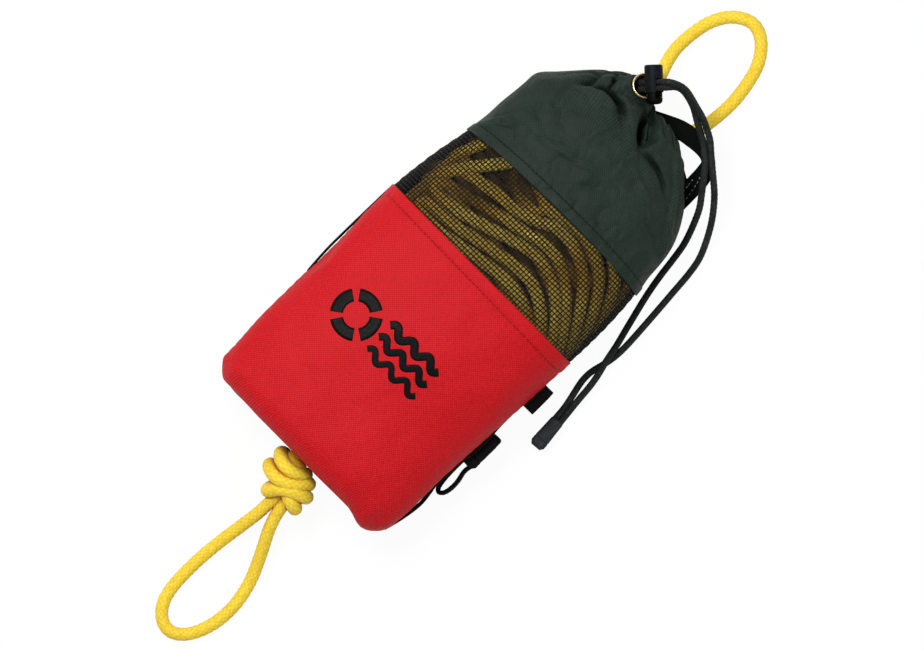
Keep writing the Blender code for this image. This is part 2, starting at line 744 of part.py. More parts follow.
tilt = Vector((math.sin(MOUTH_TILT), 0, math.cos(MOUTH_TILT)))
grommet("mouth_grommet", MOUTH_GROMMET, tilt)
washer("mouth_washer", MOUTH_GROMMET - tilt * (FABRIC + 2 * GAP), tilt)
ropes()
drawcord()
cord_lock()
webbing()
buckle()
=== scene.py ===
"""Looks of the throw rope bag: cloth, netting, ropes, webbing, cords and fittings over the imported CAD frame.

The bag lies on its back. +X runs from its base to its mouth, +Y to its left side and +Z out of its front.
Lengths are in millimetres unless a name or comment says otherwise, and MM turns them into metres.
"""

import json
import math

import bpy
import numpy as np
from mathutils import Matrix, Vector
from mathutils.bvhtree import BVHTree


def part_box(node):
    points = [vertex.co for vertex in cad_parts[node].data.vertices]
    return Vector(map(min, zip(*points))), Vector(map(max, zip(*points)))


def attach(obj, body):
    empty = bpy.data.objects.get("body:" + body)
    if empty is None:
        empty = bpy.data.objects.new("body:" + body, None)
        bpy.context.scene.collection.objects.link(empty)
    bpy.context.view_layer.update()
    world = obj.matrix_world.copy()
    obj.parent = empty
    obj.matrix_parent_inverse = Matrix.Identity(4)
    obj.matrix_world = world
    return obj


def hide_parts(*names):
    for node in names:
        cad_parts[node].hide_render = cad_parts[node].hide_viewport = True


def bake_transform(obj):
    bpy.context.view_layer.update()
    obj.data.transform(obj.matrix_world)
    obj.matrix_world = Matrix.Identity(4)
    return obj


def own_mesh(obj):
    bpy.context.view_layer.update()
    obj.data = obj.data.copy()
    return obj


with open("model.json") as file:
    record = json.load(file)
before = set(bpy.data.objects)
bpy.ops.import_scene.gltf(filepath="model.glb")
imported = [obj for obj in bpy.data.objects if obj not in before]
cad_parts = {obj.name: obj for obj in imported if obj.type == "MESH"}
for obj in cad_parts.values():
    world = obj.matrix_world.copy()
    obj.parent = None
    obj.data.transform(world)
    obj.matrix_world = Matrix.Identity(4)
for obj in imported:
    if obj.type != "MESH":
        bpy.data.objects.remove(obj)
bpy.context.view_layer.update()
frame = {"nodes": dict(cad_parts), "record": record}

MM = 0.001
TURN = 2 * math.pi

# The stuffed bag: x, left edge y, right edge y, top z, underside z.
STATIONS = np.array((
    (-180, 86, -80.5, 70, 0), (-150, 86.6, -81.8, 75, 0), (-130, 87.6, -82, 77, 0),
    (-110, 87.8, -82.8, 78, 0), (-85, 86.8, -84.6, 79, 0), (-60, 86.5, -86, 79.6, 0),
    (-30, 86.5, -88.2, 80, 0), (0, 86.3, -89.5, 80, 0), (12, 85.6, -90.4, 80, 0),
    (40, 81.8, -90.8, 78, 0), (70, 76, -89, 76, 0), (100, 73, -85.2, 74, 0),
    (120, 71.3, -77.8, 69, 1), (131, 69, -71.3, 65.5, 3), (142, 58.5, -62.5, 61, 5),
    (152, 48.3, -53.5, 56, 8), (163, 37, -36.5, 49.5, 12), (170, 28.5, -21, 45, 14),
    (178, 18.5, -10, 42, 16),
), float)
FRONT_ROUND, BACK_ROUND = 0.85, 0.92  # powers that square up the bag's section: 1 is an ellipse
BASE_X = -180.0
BASE_PANEL_X = -176.6
CORNER_R = 16.0
SEAM_Z = 37.0
SEAM_ANGLE = 2.0  # degrees that the red front stops short of the side seams
ARC = 1.2  # mm along the cloth for each degree near a seam
HEM_X = 3.0  # the red panel's hem, where the netting starts
COLLAR_SIDE_X = 67.5  # the collar's lower edge at the side seams
COLLAR_RISE = 4.6  # and how much farther it is along the middle of the front
COLLAR_STITCH = 7.6  # from the collar's lower edge to its stitches
# The gathered edge at the mouth: angle round the bag, x.
MOUTH_EDGE = ((0, 177), (30, 181), (60, 180), (90, 176), (120, 171), (150, 169), (180, 166), (225, 160),
              (270, 158), (315, 166), (360, 177))
# How far the base's edge stands in from BASE_X across the bag: y, mm.
BASE_SWAY = ((-90, 0), (-76, 0.4), (-70, -1.0), (-65, -1.9), (-60, -1.3), (-55, 0), (-50, 1.0), (-15, 1.1),
             (0, 1.5), (40, 2.1), (60, 3), (72, 3.4), (90, 3.3))
CLOTH = 0.9  # thickness
ROPE_R = 4.65
ROPE_PLAIT = (8, 4.4)  # strands each way and pitch
CORD_R = 2.5
CORD_PINCHED_R = 2.2  # half the cords' spacing where the lock holds them
NET_PITCH = 2.8
NET_R = 0.46
NET_INSET = 1.2
MOUTH_GROMMET = np.array((176.5, 9.0, 43.6))
MOUTH_TILT = math.radians(18)
THREAD_LENGTH = 1.9  # one wave of the nylon's weave
BASE_HOLE_R, BASE_HOLE_Z = 6.2, 34.0


# ---------------------------------------------------------------- numbers and shapes


def unit(vectors):
    return vectors / np.maximum(np.linalg.norm(vectors, axis=-1, keepdims=True), 1e-9)


def turns(sides):
    """Angles evenly round a ring."""
    return np.arange(sides) * TURN / sides


def hump(distance, width):
    """1 at no distance, falling away like a bell over the width."""
    return np.exp(-((distance / width) ** 2))


def smooth(values, low, high):
    """0 below low, 1 above high, and an even S between them."""
    t = np.clip((np.asarray(values, float) - low) / (high - low), 0, 1)
    return t * t * (3 - 2 * t)


def undulation(a, b, size, seed, waves=7):
    """Soft random hills between about -1 and 1 over the plane (a, b), each about size across."""
    random = np.random.default_rng(seed)
    total = np.zeros(np.broadcast(a, b).shape)
    for _ in range(waves):
        turn = random.uniform(0, TURN)
        stretch = size * random.uniform(0.6, 1.6) / math.pi
        total = total + np.sin((a * math.cos(turn) + b * math.sin(turn)) / stretch + random.uniform(0, TURN))
    return total / math.sqrt(waves)


def envelope(x, column):
    """A column of STATIONS at x, on a smooth curve through the stations."""
    at, values = STATIONS[:, 0], STATIONS[:, column]
    x = np.clip(x, at[0], at[-1])
    i = np.clip(np.searchsorted(at, x) - 1, 0, len(at) - 2)
    number = np.arange(len(at))
    before, after = np.maximum(number - 1, 0), np.minimum(number + 1, len(at) - 1)
    slopes = (values[after] - values[before]) / (at[after] - at[before])
    span = at[i + 1] - at[i]
    t = (x - at[i]) / span
    return (
        values[i] * (2 * t**3 - 3 * t**2 + 1) + slopes[i] * span * (t**3 - 2 * t**2 + t)
        + values[i + 1] * (3 * t**2 - 2 * t**3) + slopes[i + 1] * span * (t**3 - t**2)
    )


def skin(x, angle, inset=0.0):
    """Points of the bag's outside at x. The angle in degrees runs from the left seam over the front."""
    x, angle = np.broadcast_arrays(np.asarray(x, float), np.asarray(angle, float))
    aside = np.where(inset > 4, 4 + (inset - 4) * 0.72, inset)  # the base's corners are squarer in plan
    left, right = envelope(x, 1) - aside, envelope(x, 2) + aside
    top = envelope(x, 3) - inset
    low = np.maximum(envelope(x, 4), 0) + inset
    middle = SEAM_Z - np.maximum(x - 100, 0) * 0.08
    c, s = np.cos(np.radians(angle)), np.sin(np.radians(angle))
    y = (left + right) / 2 + (left - right) / 2 * np.sign(c) * np.abs(c) ** FRONT_ROUND
    front = middle + (top - middle) * np.abs(s) ** FRONT_ROUND
    flat = np.where(x < 100, 5.0, np.maximum(0, 5 - (x - 100) / 8))  # the floor presses the underside flat
    back = np.maximum(middle - (middle - low + flat) * np.abs(s) ** BACK_ROUND, low)
    sway = np.interp(y, *np.transpose(BASE_SWAY)) * (1 - smooth(x, BASE_X, BASE_X + 30))
    return np.stack([x + sway, y, np.where(s >= 0, front, back)], -1)


def normals_of(grid, closed):
    """Unit normals of a grid of points, pointing the way that rows x columns turns."""
    if closed:
        across = (np.roll(grid, -1, 1) - np.roll(grid, 1, 1)) / 2
    else:
        across = np.gradient(grid, axis=1)
    return unit(np.cross(across, np.gradient(grid, axis=0)))


def distance_run(points, axis=0):
    """Distance run along rows of points, from 0."""
    steps = np.diff(points, axis=axis, prepend=np.take(points, [0], axis))
    return np.cumsum(np.linalg.norm(steps, axis=-1), axis=axis)


def grid_faces(rows, columns, closed=False):
    """Quads between neighbouring points of a grid, numbered row by row."""
    row, column = np.indices((rows - 1, columns if closed else columns - 1))
    this, following = row * columns, (row + 1) * columns
    after = (column + 1) % columns
    return np.stack((this + column, this + after, following + after, following + column), -1).reshape(-1, 4)


def tube(path, side, other, radii, turn):
    """Rings of points round a path, on its two side directions."""
    return (
        path[..., None, :]
        + side[..., None, :] * (radii * np.cos(turn))[..., None]
        + other[..., None, :] * (radii * np.sin(turn))[..., None]
    )


def tube_faces(rows, sides, flip=False):
    """A tube's quads and its two flat ends."""
    faces = grid_faces(rows, sides, True).tolist()
    faces.append(list(range(sides))[::-1])
    faces.append([(rows - 1) * sides + k for k in range(sides)])
    return [face[::-1] for face in faces] if flip else faces


def lay_of(along, across, relief):
    """What a material reads at each point: mm along and across the stuff, and its relief."""
    return np.stack(np.broadcast_arrays(along, across, relief), -1)


def piece(name, points, faces, material, lay=None):
    """A smooth mesh piece."""
    mesh = bpy.data.meshes.new(name)
    mesh.from_pydata((np.reshape(points, (-1, 3)) * MM).tolist(), [], [list(map(int, f)) for f in faces])
    mesh.polygons.foreach_set("use_smooth", [True] * len(mesh.polygons))
    if lay is not None:
        attribute = mesh.attributes.new("lay", "FLOAT_VECTOR", "POINT")
        attribute.data.foreach_set("vector", np.asarray(lay, np.float32).ravel())
    mesh.materials.append(material)
    mesh.validate()
    made = bpy.data.objects.new(name, mesh)
    bpy.context.scene.collection.objects.link(made)
    return made


def solid(name, points, faces, material, lay=None, sharp=None):
    """A closed piece with its faces outwards, and its edges sharp where they turn more than sharp degrees."""
    made = piece(name, points, faces, material, lay)
    mesh = made.data
    mesh.calc_loop_triangles()
    places = np.empty(len(mesh.vertices) * 3)
    mesh.vertices.foreach_get("co", places)
    triangles = np.empty(len(mesh.loop_triangles) * 3, np.int32)
    mesh.loop_triangles.foreach_get("vertices", triangles)
    if np.linalg.det(places.reshape(-1, 3)[triangles.reshape(-1, 3)]).sum() < 0:
        mesh.flip_normals()
    if sharp:
        mesh.set_sharp_from_angle(angle=math.radians(sharp))
    return made


def belong(made, slot, body, *nodes):
    """Ties a piece to the body it moves with and hides the CAD nodes that it stands for; slot, which would
    name its finish, is not used.
    """
    if nodes:
        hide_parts(*nodes)
    if body:
        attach(made, body)
    return made


def sheet(name, grid, closed, material, lift=0.0):
    """Cloth over a grid of outer points, lifted along its normals, with its thickness on the inside."""
    points = grid + normals_of(grid, closed) * np.asarray(lift)[..., None]
    lay = lay_of(distance_run(grid, 0), distance_run(grid, 1), 1.0)
    made = piece(name, points, grid_faces(*grid.shape[:2], closed), material, lay)
    thickness = made.modifiers.new("thickness", "SOLIDIFY")
    thickness.thickness = CLOTH * MM
    thickness.offset = -1
    return made


def spline(points, step):
    """Points a step apart on a smooth curve through the given ones."""
    p = np.array([points[0], *points, points[-1]], float)
    t = np.linspace(0, 1, 24, endpoint=False)[:, None]
    spans = [
        0.5 * (2 * b + (c - a) * t + (2 * a - 5 * b + 4 * c - d) * t**2 + (3 * b - a - 3 * c + d) * t**3)
        for a, b, c, d in zip(p, p[1:], p[2:], p[3:])
    ]
    return respace(np.vstack([*spans, p[-1:]]), step)


def columns_at(where, at, columns):
    """Each column read off at these places."""
    return np.stack([np.interp(where, at, column) for column in np.transpose(columns)], 1)


def respace(path, step):
    """The same path with its points a step apart."""
    at = distance_run(path)
    return columns_at(np.linspace(0, at[-1], max(2, round(at[-1] / step) + 1)), at, path)


def soften(path, passes):
    """The path with its kinks eased, its ends held."""
    path = path.copy()
    for _ in range(passes):
        path[1:-1] += (path[:-2] + path[2:] - 2 * path[1:-1]) * 0.5
    return path


def frames(path):
    """Unit tangents and two side vectors that don't twist along the path."""
    tangents = unit(np.gradient(path, axis=0))
    side = np.cross(tangents[0], (0.13, 0.21, 0.97))
    sides = np.empty_like(path)
    for i, tangent in enumerate(tangents):
        side = unit(side - tangent * np.dot(side, tangent))
        sides[i] = side
    return tangents, sides, np.cross(tangents, sides)


def plait(along, turn, strands, pitch):
    """Height, 0 to 1, of a plaited cover at mm along it and radians round it."""
    right = strands * turn / TURN + along / pitch
    left = strands * turn / TURN - along / pitch
    right_over = (np.floor(right) + np.floor(left)) % 2 < 1
    across = np.where(right_over, right, left) % 1
    lengthwise = np.where(right_over, left, right) % 1
    return np.sin(math.pi * across) ** 0.55 * (0.5 + 0.5 * np.sin(math.pi * lengthwise))


def braided(name, path, radius, material, plaiting, relief, sides, step, swell=None):
    """A plaited rope or cord along a path, with round ends. A fourth column says how dim it lies, 0 to 1,
    which the material paints as shade.
    """
    path = respace(path, step)
    dim = path[:, 3:] if path.shape[1] > 3 else np.zeros((len(path), 1))
    path = path[:, :3]
    along, turn = np.arange(len(path)) * step, turns(sides)
    height = plait(along[:, None], turn, *plaiting)
    _, side, other = frames(path)
    thick = radius * (swell(path) if swell else np.ones(len(path)))
    ends = np.clip(np.minimum(along, along[-1] - along) / radius, 0, 1)
    thick = (thick * np.sqrt(np.clip(1 - (1 - ends) ** 2, 0.004, 1)))[:, None]
    points = tube(path, side, other, thick - relief * (1 - height) * (thick / radius), turn)
    # Dim strands get a relief below 0, which the material paints as shade.
    shown = height * (1 - dim) - dim
    lay = lay_of(along[:, None], turn * radius, shown)
    return piece(name, points, tube_faces(len(path), sides, flip=True), material, lay)


def band(name, path, widths, thickness, material, rib=0.0, step=0.8, columns=26):
    """Flat webbing along a path. widths is its half-width vector, or one for each of the path's points."""
    both = respace(np.hstack([path, np.broadcast_to(widths, (len(path), 3))]), step)
    path, half = both[:, :3], both[:, 3:]
    tangents = unit(np.gradient(path, axis=0))
    half = half - tangents * (half * tangents).sum(1, keepdims=True)
    width = np.linalg.norm(half, axis=1, keepdims=True)
    face = np.cross(tangents, half / width)
    c, s = np.cos(turns(columns)), np.sin(turns(columns))
    across, up = np.sign(c) * np.abs(c) ** 0.35, np.sign(s) * np.abs(s) ** 0.45
    along = distance_run(path)[:, None]
    ribs = rib * np.sin(along * TURN / 2.2 + np.sign(across) * across**2 * 5)
    points = (
        path[:, None, :]
        + half[:, None, :] * across[None, :, None]
        + face[:, None, :] * (up * (thickness / 2 + ribs))[..., None]
    )
    lay = lay_of(along, across * width, 0.5 + ribs)
    return solid(name, points, tube_faces(len(path), columns), material, lay)


def turned(name, profile, at, axis, material, sides=64):
    """A turned part: profile is (mm along the axis, radius) from one end to the other."""
    side = unit(np.cross(axis, (0.0, 0.0, 1.0)))
    heights, radii = np.transpose(profile)
    radii = np.maximum(radii, 0.02)[:, None]
    points = tube(at + np.outer(heights, axis), side, np.cross(axis, side), radii, turns(sides))
    return solid(name, points, tube_faces(len(profile), sides), material, sharp=40)


def rounded(profile, radius, steps):
    """A turned part's profile with its corners rounded."""
    out = [profile[0]]
    for a, b, c in zip(*(np.array(profile[k:], float) for k in range(3))):
        reach = min(radius, np.linalg.norm(b - a) * 0.45, np.linalg.norm(c - b) * 0.45)
        start, end = b + unit(a - b) * reach, b + unit(c - b) * reach
        for t in np.linspace(0, 1, steps + 1):
            out.append((1 - t) ** 2 * start + 2 * t * (1 - t) * b + t * t * end)
    return [*out, profile[-1]]


class Surface:
    """The outside of a sheet, to lay stitches and print on."""

    def __init__(self, made):
        points = [v.co.copy() for v in made.data.vertices]
        self.tree = BVHTree.FromPolygons(points, [tuple(p.vertices) for p in made.data.polygons])

    def under(self, points):
        """Where lines straight down at (x, y) points meet the sheet, and the normals there."""
        places, normals = [], []
        for x, y in points:
            hit, normal, _, _ = self.tree.ray_cast(Vector((x * MM, y * MM, 0.2)), Vector((0, 0, -1)))
            if hit is not None:
                places.append(np.array(hit) / MM)
                normals.append(np.array(normal if normal.z > 0 else -normal))
        return np.array(places), np.array(normals)


def stitches(name, path, outward, material, length=3.0, gap=0.5, radius=0.3):
    """A row of thread stitches lying along a path, each one dipping into the cloth at its ends."""
    step, rings, sides = 0.25, 7, 6
    both = respace(np.hstack([path, outward]), step)
    path, outward = both[:, :3], unit(both[:, 3:])
    per_stitch = round(length / step)
    rise = np.sin(np.linspace(0, math.pi, rings))[:, None]
    thick = radius * np.maximum(rise, 0.25) ** 0.4
    points, faces = [], []
    for first in range(0, len(path) - per_stitch, round((length + gap) / step)):
        at = first + np.round(np.linspace(0, per_stitch, rings)).astype(int)
        centre = path[at] + outward[at] * ((rise - 0.45) * radius)
        side = np.cross(unit(path[at[-1]] - path[at[0]]), outward[at])
        start = len(points) * rings * sides
        points.append(tube(centre, side, outward[at], thick, turns(sides)))
        faces += [[start + k for k in face] for face in tube_faces(rings, sides)]
    return solid(name, points, faces, material)


# ---------------------------------------------------------------- materials


def colour(*display):
    """A scene colour from red, green and blue display values of 0 to 255."""
    shown = (value / 255 for value in display)
    return tuple(c / 12.92 if c <= 10 / 255 else ((c + 0.055) / 1.055) ** 2.4 for c in shown) + (1.0,)


def scaled(tone, share, more=0.0):
    """A colour made darker or paler."""
    return tuple(c * share + more for c in tone[:3]) + (1.0,)


class Shader:
    """A material's node tree, with short names for what is built from nodes here."""

    def __init__(self, name, metallic=0.0, specular=0.17):
        self.material = bpy.data.materials.new(name)
        self.material.use_nodes = True
        self.tree = self.material.node_tree
        self.base = next(n for n in self.tree.nodes if n.type == "BSDF_PRINCIPLED")
        self.base.inputs["Metallic"].default_value = metallic
        self.base.inputs["Specular IOR Level"].default_value = specular

    def node(self, kind, settings=(), **inputs):
        """A new node, its settings made and its inputs filled by name, with _ for a space."""
        made = self.tree.nodes.new("ShaderNode" + kind)
        for key, value in dict(settings).items():
            setattr(made, key, value)
        for name, value in inputs.items():
            self.put(made.inputs[name.replace("_", " ")], value)
        return made

    def put(self, socket, value):
        if isinstance(value, bpy.types.NodeSocket):
            self.tree.links.new(value, socket)
        else:
            socket.default_value = value

    def maths(self, operation, *values):
        made = self.node("Math", {"operation": operation})
        for socket, value in zip(made.inputs, values):
            self.put(socket, value)
        return made.outputs[0]

    def blend(self, share, a, b):
        made = self.node("Mix", {"data_type": "RGBA"})
        for k, value in ((0, share), (6, a), (7, b)):
            self.put(made.inputs[k], value)
        return made.outputs[2]

    def tint(self, shade, tone, value, *spread):
        """Blends the shade towards a tone where the value, spread, is high."""
        return self.blend(self.spread(value, *spread), shade, tone)

    def lay(self):
        """mm along, mm across and relief, as the mesh holds them."""
        attribute = self.node("Attribute", {"attribute_name": "lay"})
        return self.node("SeparateXYZ", Vector=attribute.outputs["Vector"]).outputs

    def noise(self, scale, detail=3.0, stretch=None):
        """Noise of 0 to 1; scale counts its blobs a metre."""
        place = self.node("TexCoord").outputs["Object"]
        if stretch:
            place = self.node("Mapping", Vector=place, Scale=stretch).outputs[0]
        return self.node("TexNoise", Vector=place, Scale=scale, Detail=detail).outputs["Fac"]

    def openness(self, distance):
        """1 in the open, towards 0 in hollows; distance in mm."""
        return self.node("AmbientOcclusion", {"samples": 6}, Distance=distance * MM).outputs["AO"]

    def wave(self, value, length):
        """A sine of the value, -1 to 1, with this wavelength."""
        return self.maths("SINE", self.maths("MULTIPLY", value, TURN / length))

    def weave(self, a, b, length):
        """Threads that cross, -1 to 1, from mm along and across."""
        return self.maths("MULTIPLY", self.wave(a, length), self.wave(b, length))

    def spread(self, value, low, high, new_low=0.0, new_high=1.0):
        made = self.node("MapRange")
        for socket, number in zip(made.inputs, (value, low, high, new_low, new_high)):
            self.put(socket, number)
        return made.outputs[0]

    def bump(self, height, distance, strength=1.0, under=None):
        """Bump from a height of 0 to 1; distance in mm."""
        made = self.node("Bump", Height=height, Distance=distance * MM, Strength=strength)
        if under is not None:
            self.put(made.inputs["Normal"], under)
        return made.outputs["Normal"]

    def finish(self, base, roughness, normal, **inputs):
        for name, value in {"Base_Color": base, "Roughness": roughness, "Normal": normal, **inputs}.items():
            self.put(self.base.inputs[name.replace("_", " ")], value)
        return self.material


def nylon(name, body, worn, sheen=0.04, painted_shade=0.25, crumple=0.3, glint=0.004):
    """Coated woven nylon: a plain weave, cloudy shade, creases, paler wear, painted shade in hollows and a
    painted highlight on high threads.

    painted_shade: share of the colour left in the painted shade of hollows. crumple: mm of sharp creases.
    glint: paleness painted on high threads as a highlight.
    """
    s = Shader(name)
    body, worn = colour(*body), colour(*worn)
    along, across, _ = s.lay()
    wander = s.maths("MULTIPLY", s.noise(110.0, 1.0), 0.7)
    weave = s.weave(s.maths("ADD", along, wander), s.maths("ADD", across, wander), THREAD_LENGTH)
    grain = s.noise(620.0)
    openness = s.openness(16.0)
    shade = s.tint(body, worn, s.noise(30.0, 4.0), 0.38, 0.68, 0.0, 0.6)
    shade = s.tint(shade, scaled(body, 0.62), grain, 0.36, 0.62, 0.42, 0.0)
    shade = s.tint(shade, scaled(body, 0.62), weave, -1.0, 1.0, 0.3, 0.0)
    # Painted highlight: the high threads take a paler colour.
    shade = s.tint(shade, scaled(worn, 1.15, glint), s.maths("ADD", weave, grain), 0.7, 1.5, 0.0, 0.8)
    # Painted shade: hollows found by occlusion take a darker colour.
    shade = s.tint(shade, scaled(body, painted_shade), openness, 0.3, 0.92, 1.0, 0.0)
    gloss = s.spread(openness, 0.3, 0.92, 0.0, 0.14)
    ridges = s.maths("ABSOLUTE", s.maths("SUBTRACT", s.noise(34.0, 2.0), 0.5))
    normal = s.bump(s.spread(ridges, 0.0, 0.16), crumple, 0.8)
    normal = s.bump(s.noise(70.0, 5.0), 1.3, 0.3, normal)
    normal = s.bump(s.noise(210.0), 0.6, 0.35, normal)
    normal = s.bump(s.spread(weave, -1.0, 1.0), 0.16, 0.9, normal)
    normal = s.bump(grain, 0.22, 0.6, normal)
    rough = s.spread(grain, 0.3, 0.7, 0.52, 0.7)
    return s.finish(shade, rough, normal, Sheen_Weight=sheen, Sheen_Roughness=0.45, Specular_IOR_Level=gloss)


def plaited_rope(name, high, deep, fleck, painted_shade=None, shaded=(0.25, 0.85), fibre=0.55, sheen=0.1):
    """Plaited fibre: paler crowns and darker grooves as painted light and shade, fine fibres along, odd
    coloured picks and, where given, painted shade in hollows and on dim strands.
    """
    s = Shader(name)
    high, deep, fleck = colour(*high), colour(*deep), colour(*fleck)
    along, across, relief = s.lay()
    fibres, others = (
        s.maths("MULTIPLY", s.wave(s.maths(way, along, across), fibre), 0.5) for way in ("ADD", "SUBTRACT")
    )
    patches = s.noise(330.0)
    # Painted light and shade: the plait's crowns take the high colour and its grooves the deep one.
    shade = s.tint(deep, high, relief, 0.1, 0.8)
    shade = s.tint(shade, fleck, patches, 0.5, 0.66, 0.0, 0.7)
    shade = s.tint(shade, fleck, s.noise(40.0), 0.4, 0.7, 0.0, 0.3)
    # Painted shade: hollows found by occlusion, and strands dimmed below 0 relief, take the given shade
    # colour.
    if painted_shade:
        shade = s.tint(shade, colour(*painted_shade), s.openness(9.0), *shaded, 0.95, 0.0)
        shade = s.tint(shade, colour(*painted_shade), relief, -1.0, 0.0, 0.9, 0.0)
    normal = s.bump(s.spread(s.maths("ADD", fibres, others), -1.0, 1.0), 0.09, 0.7)
    normal = s.bump(s.noise(1600.0, 2.0), 0.12, 0.5, normal)
    rough = s.spread(patches, 0.3, 0.7, 0.52, 0.7)
    return s.finish(shade, rough, normal, Sheen_Weight=sheen, Sheen_Roughness=0.4)


def webbing_cloth(name, body, rib):
    """Woven tape: ribs across, herringbone threads and greyed high threads."""
    s = Shader(name)
    body, rib = colour(*body), colour(*rib)
    along, across, _ = s.lay()
    chevron = s.maths("ABSOLUTE", s.wave(across, 5.6))
    ribs = s.wave(s.maths("ADD", along, s.maths("MULTIPLY", chevron, 0.9)), 1.5)
    weave = s.maths("MULTIPLY", ribs, s.wave(across, 1.4))
    shade = s.tint(body, rib, weave, 0.0, 1.0, 0.0, 0.65)
    shade = s.tint(shade, rib, s.noise(600.0, 2.0), 0.45, 0.75, 0.0, 0.35)
    normal = s.bump(s.spread(weave, -1.0, 1.0), 0.28, 0.9)
    normal = s.bump(s.noise(1500.0, 2.0), 0.1, 0.5, normal)
    return s.finish(shade, s.spread(ribs, -1.0, 1.0, 0.8, 0.6), normal, Specular_IOR_Level=0.08)


def thread(name, body, light):
    """Spun sewing thread."""
    s = Shader(name)
    twist = s.noise(1400.0, 2.0)
    shade = s.tint(colour(*body), colour(*light), twist, 0.4, 0.65)
    return s.finish(shade, s.spread(twist, 0.3, 0.7, 0.5, 0.75), s.bump(twist, 0.1, 0.6))


def moulded(name, body, worn, roughness=0.5):
    """Moulded plastic: spark grain, handling marks and faint worn edges."""
    s = Shader(name)
    body, worn = colour(*body), colour(*worn)
    marks = s.noise(160.0, 6.0, (1.0, 4.0, 1.0))
    edges = s.node("NewGeometry").outputs["Pointiness"]
    shade = s.tint(body, worn, marks, 0.45, 0.75, 0.0, 0.6)
    shade = s.tint(shade, worn, edges, 0.52, 0.6, 0.0, 0.6)
    normal = s.bump(marks, 0.15, 0.25, s.bump(s.noise(2600.0, 2.0), 0.07, 0.6))
    rough = s.spread(marks, 0.3, 0.7, roughness - 0.08, roughness + 0.12)
    return s.finish(shade, rough, normal, Specular_IOR_Level=0.07)


def worn_brass(name, bright, dull, painted_shade_below=None):
    """Rolled brass: fine scratches, blotches and, below a relief, a near-black painted shade."""
    s = Shader(name, 1.0, 0.5)
    relief = s.lay()[2]
    blotches = s.noise(260.0, 5.0)
    shade = s.tint(colour(*bright), colour(*dull), blotches, 0.45, 0.75, 0.0, 0.7)
    if painted_shade_below is not None:
        # Painted shade: below the relief, as down the mouth grommet's throat, the colour turns near black.
        unshaded = s.spread(relief, painted_shade_below - 0.1, painted_shade_below + 0.1)
        shade = s.blend(unshaded, colour(26, 21, 15), shade)
    normal = s.bump(s.noise(900.0, 4.0, (1.0, 12.0, 1.0)), 0.05, 0.5)
    return s.finish(shade, s.spread(blotches, 0.35, 0.7, 0.22, 0.45), normal)


def spring_steel():
    """Drawn steel wire with fine lines round it."""
    s = Shader("spring_steel", 1.0, 0.5)
    lines = s.noise(2200.0, 3.0, (1.0, 1.0, 8.0))
    shade = s.blend(lines, colour(150, 152, 156), colour(205, 206, 208))
    return s.finish(shade, s.spread(lines, 0.3, 0.7, 0.25, 0.45), s.bump(lines, 0.04, 0.5))


def closed_foam():
    """Closed-cell float foam: small round cells and a skin with pits."""
    s = Shader("closed_foam")
    cells = s.node("TexVoronoi", Vector=s.node("TexCoord").outputs["Object"], Scale=900.0)
    pits = s.spread(cells.outputs["Distance"], 0.0, 0.6)
    shade = s.blend(pits, colour(206, 204, 196), colour(236, 235, 230))
    return s.finish(shade, s.spread(pits, 0.0, 1.0, 0.9, 0.75), s.bump(pits, 0.25, 0.7))


def screen_ink():
    """Black screen print, slightly broken by the weave under it."""
    s = Shader("screen_ink")
    along, across, _ = s.lay()
    worn = s.noise(700.0, 4.0)
    shade = s.tint(colour(6, 8, 8), colour(30, 18, 20), worn, 0.55, 0.8, 0.0, 0.5)
    normal = s.bump(s.spread(s.weave(along, across, 1.24), -1.0, 1.0), 0.08, 0.6)
    return s.finish(shade, s.spread(worn, 0.3, 0.7, 0.42, 0.62), normal, Specular_IOR_Level=0.1)


def studio_floor():
    """Matt pale paper, with a glow that only the camera sees, so that shadows on it stay light."""
    s = Shader("studio_floor")
    fibres = s.noise(300.0, 2.0)
    shade = s.blend(fibres, colour(248, 248, 248), colour(252, 252, 252))
    paper = s.finish(shade, 0.9, s.bump(fibres, 0.02, 0.2))
    mixed = s.node("MixShader", Fac=s.maths("MULTIPLY", s.node("LightPath").outputs["Is Camera Ray"], 0.95))
    s.put(mixed.inputs[1], s.base.outputs[0])
    s.put(mixed.inputs[2], s.node("Emission", Strength=1.0).outputs[0])
    s.put(next(n for n in s.tree.nodes if n.type == "OUTPUT_MATERIAL").inputs[0], mixed.outputs[0])
    return paper


# ---------------------------------------------------------------- the bag's cloth


def collar_edge(angle):
    """x of the collar's lower edge: it bows towards the mouth across the front."""
    return COLLAR_SIDE_X + COLLAR_RISE * np.maximum(np.sin(np.radians(angle)), 0) ** 1.5


def mouth_edge(angle):
    """x of the collar's gathered edge at the mouth."""
    return np.interp(angle, *np.transpose(MOUTH_EDGE))


def base_rows(last, step):
    """x and inset of rows from the base round its corner and on to x = last."""
    turn = np.radians(np.linspace(0, 90, 12, endpoint=False))
    corner = np.stack([BASE_X + CORNER_R * (1 - np.cos(turn)), CORNER_R * (1 - np.sin(turn))], 1)
    first = BASE_X + CORNER_R
    x = np.linspace(first, last, round((last - first) / step) + 1)
    return np.vstack([corner, np.stack([x, x * 0], 1)])


def seam_puckers(x, seam_distance, seed):
    """Small ripples that a seam's thread draws up in the cloth beside it."""
    wander = undulation(x, seam_distance * 0, 30, seed)
    return np.sin(x * TURN / 8.5 + wander * 2) * np.exp(-seam_distance / 9.0)


def hem_stitch_x(y):
    """x of the stitch line along the red panel's hem."""
    return -6.2 + 2.3 * np.asarray(y) / 85


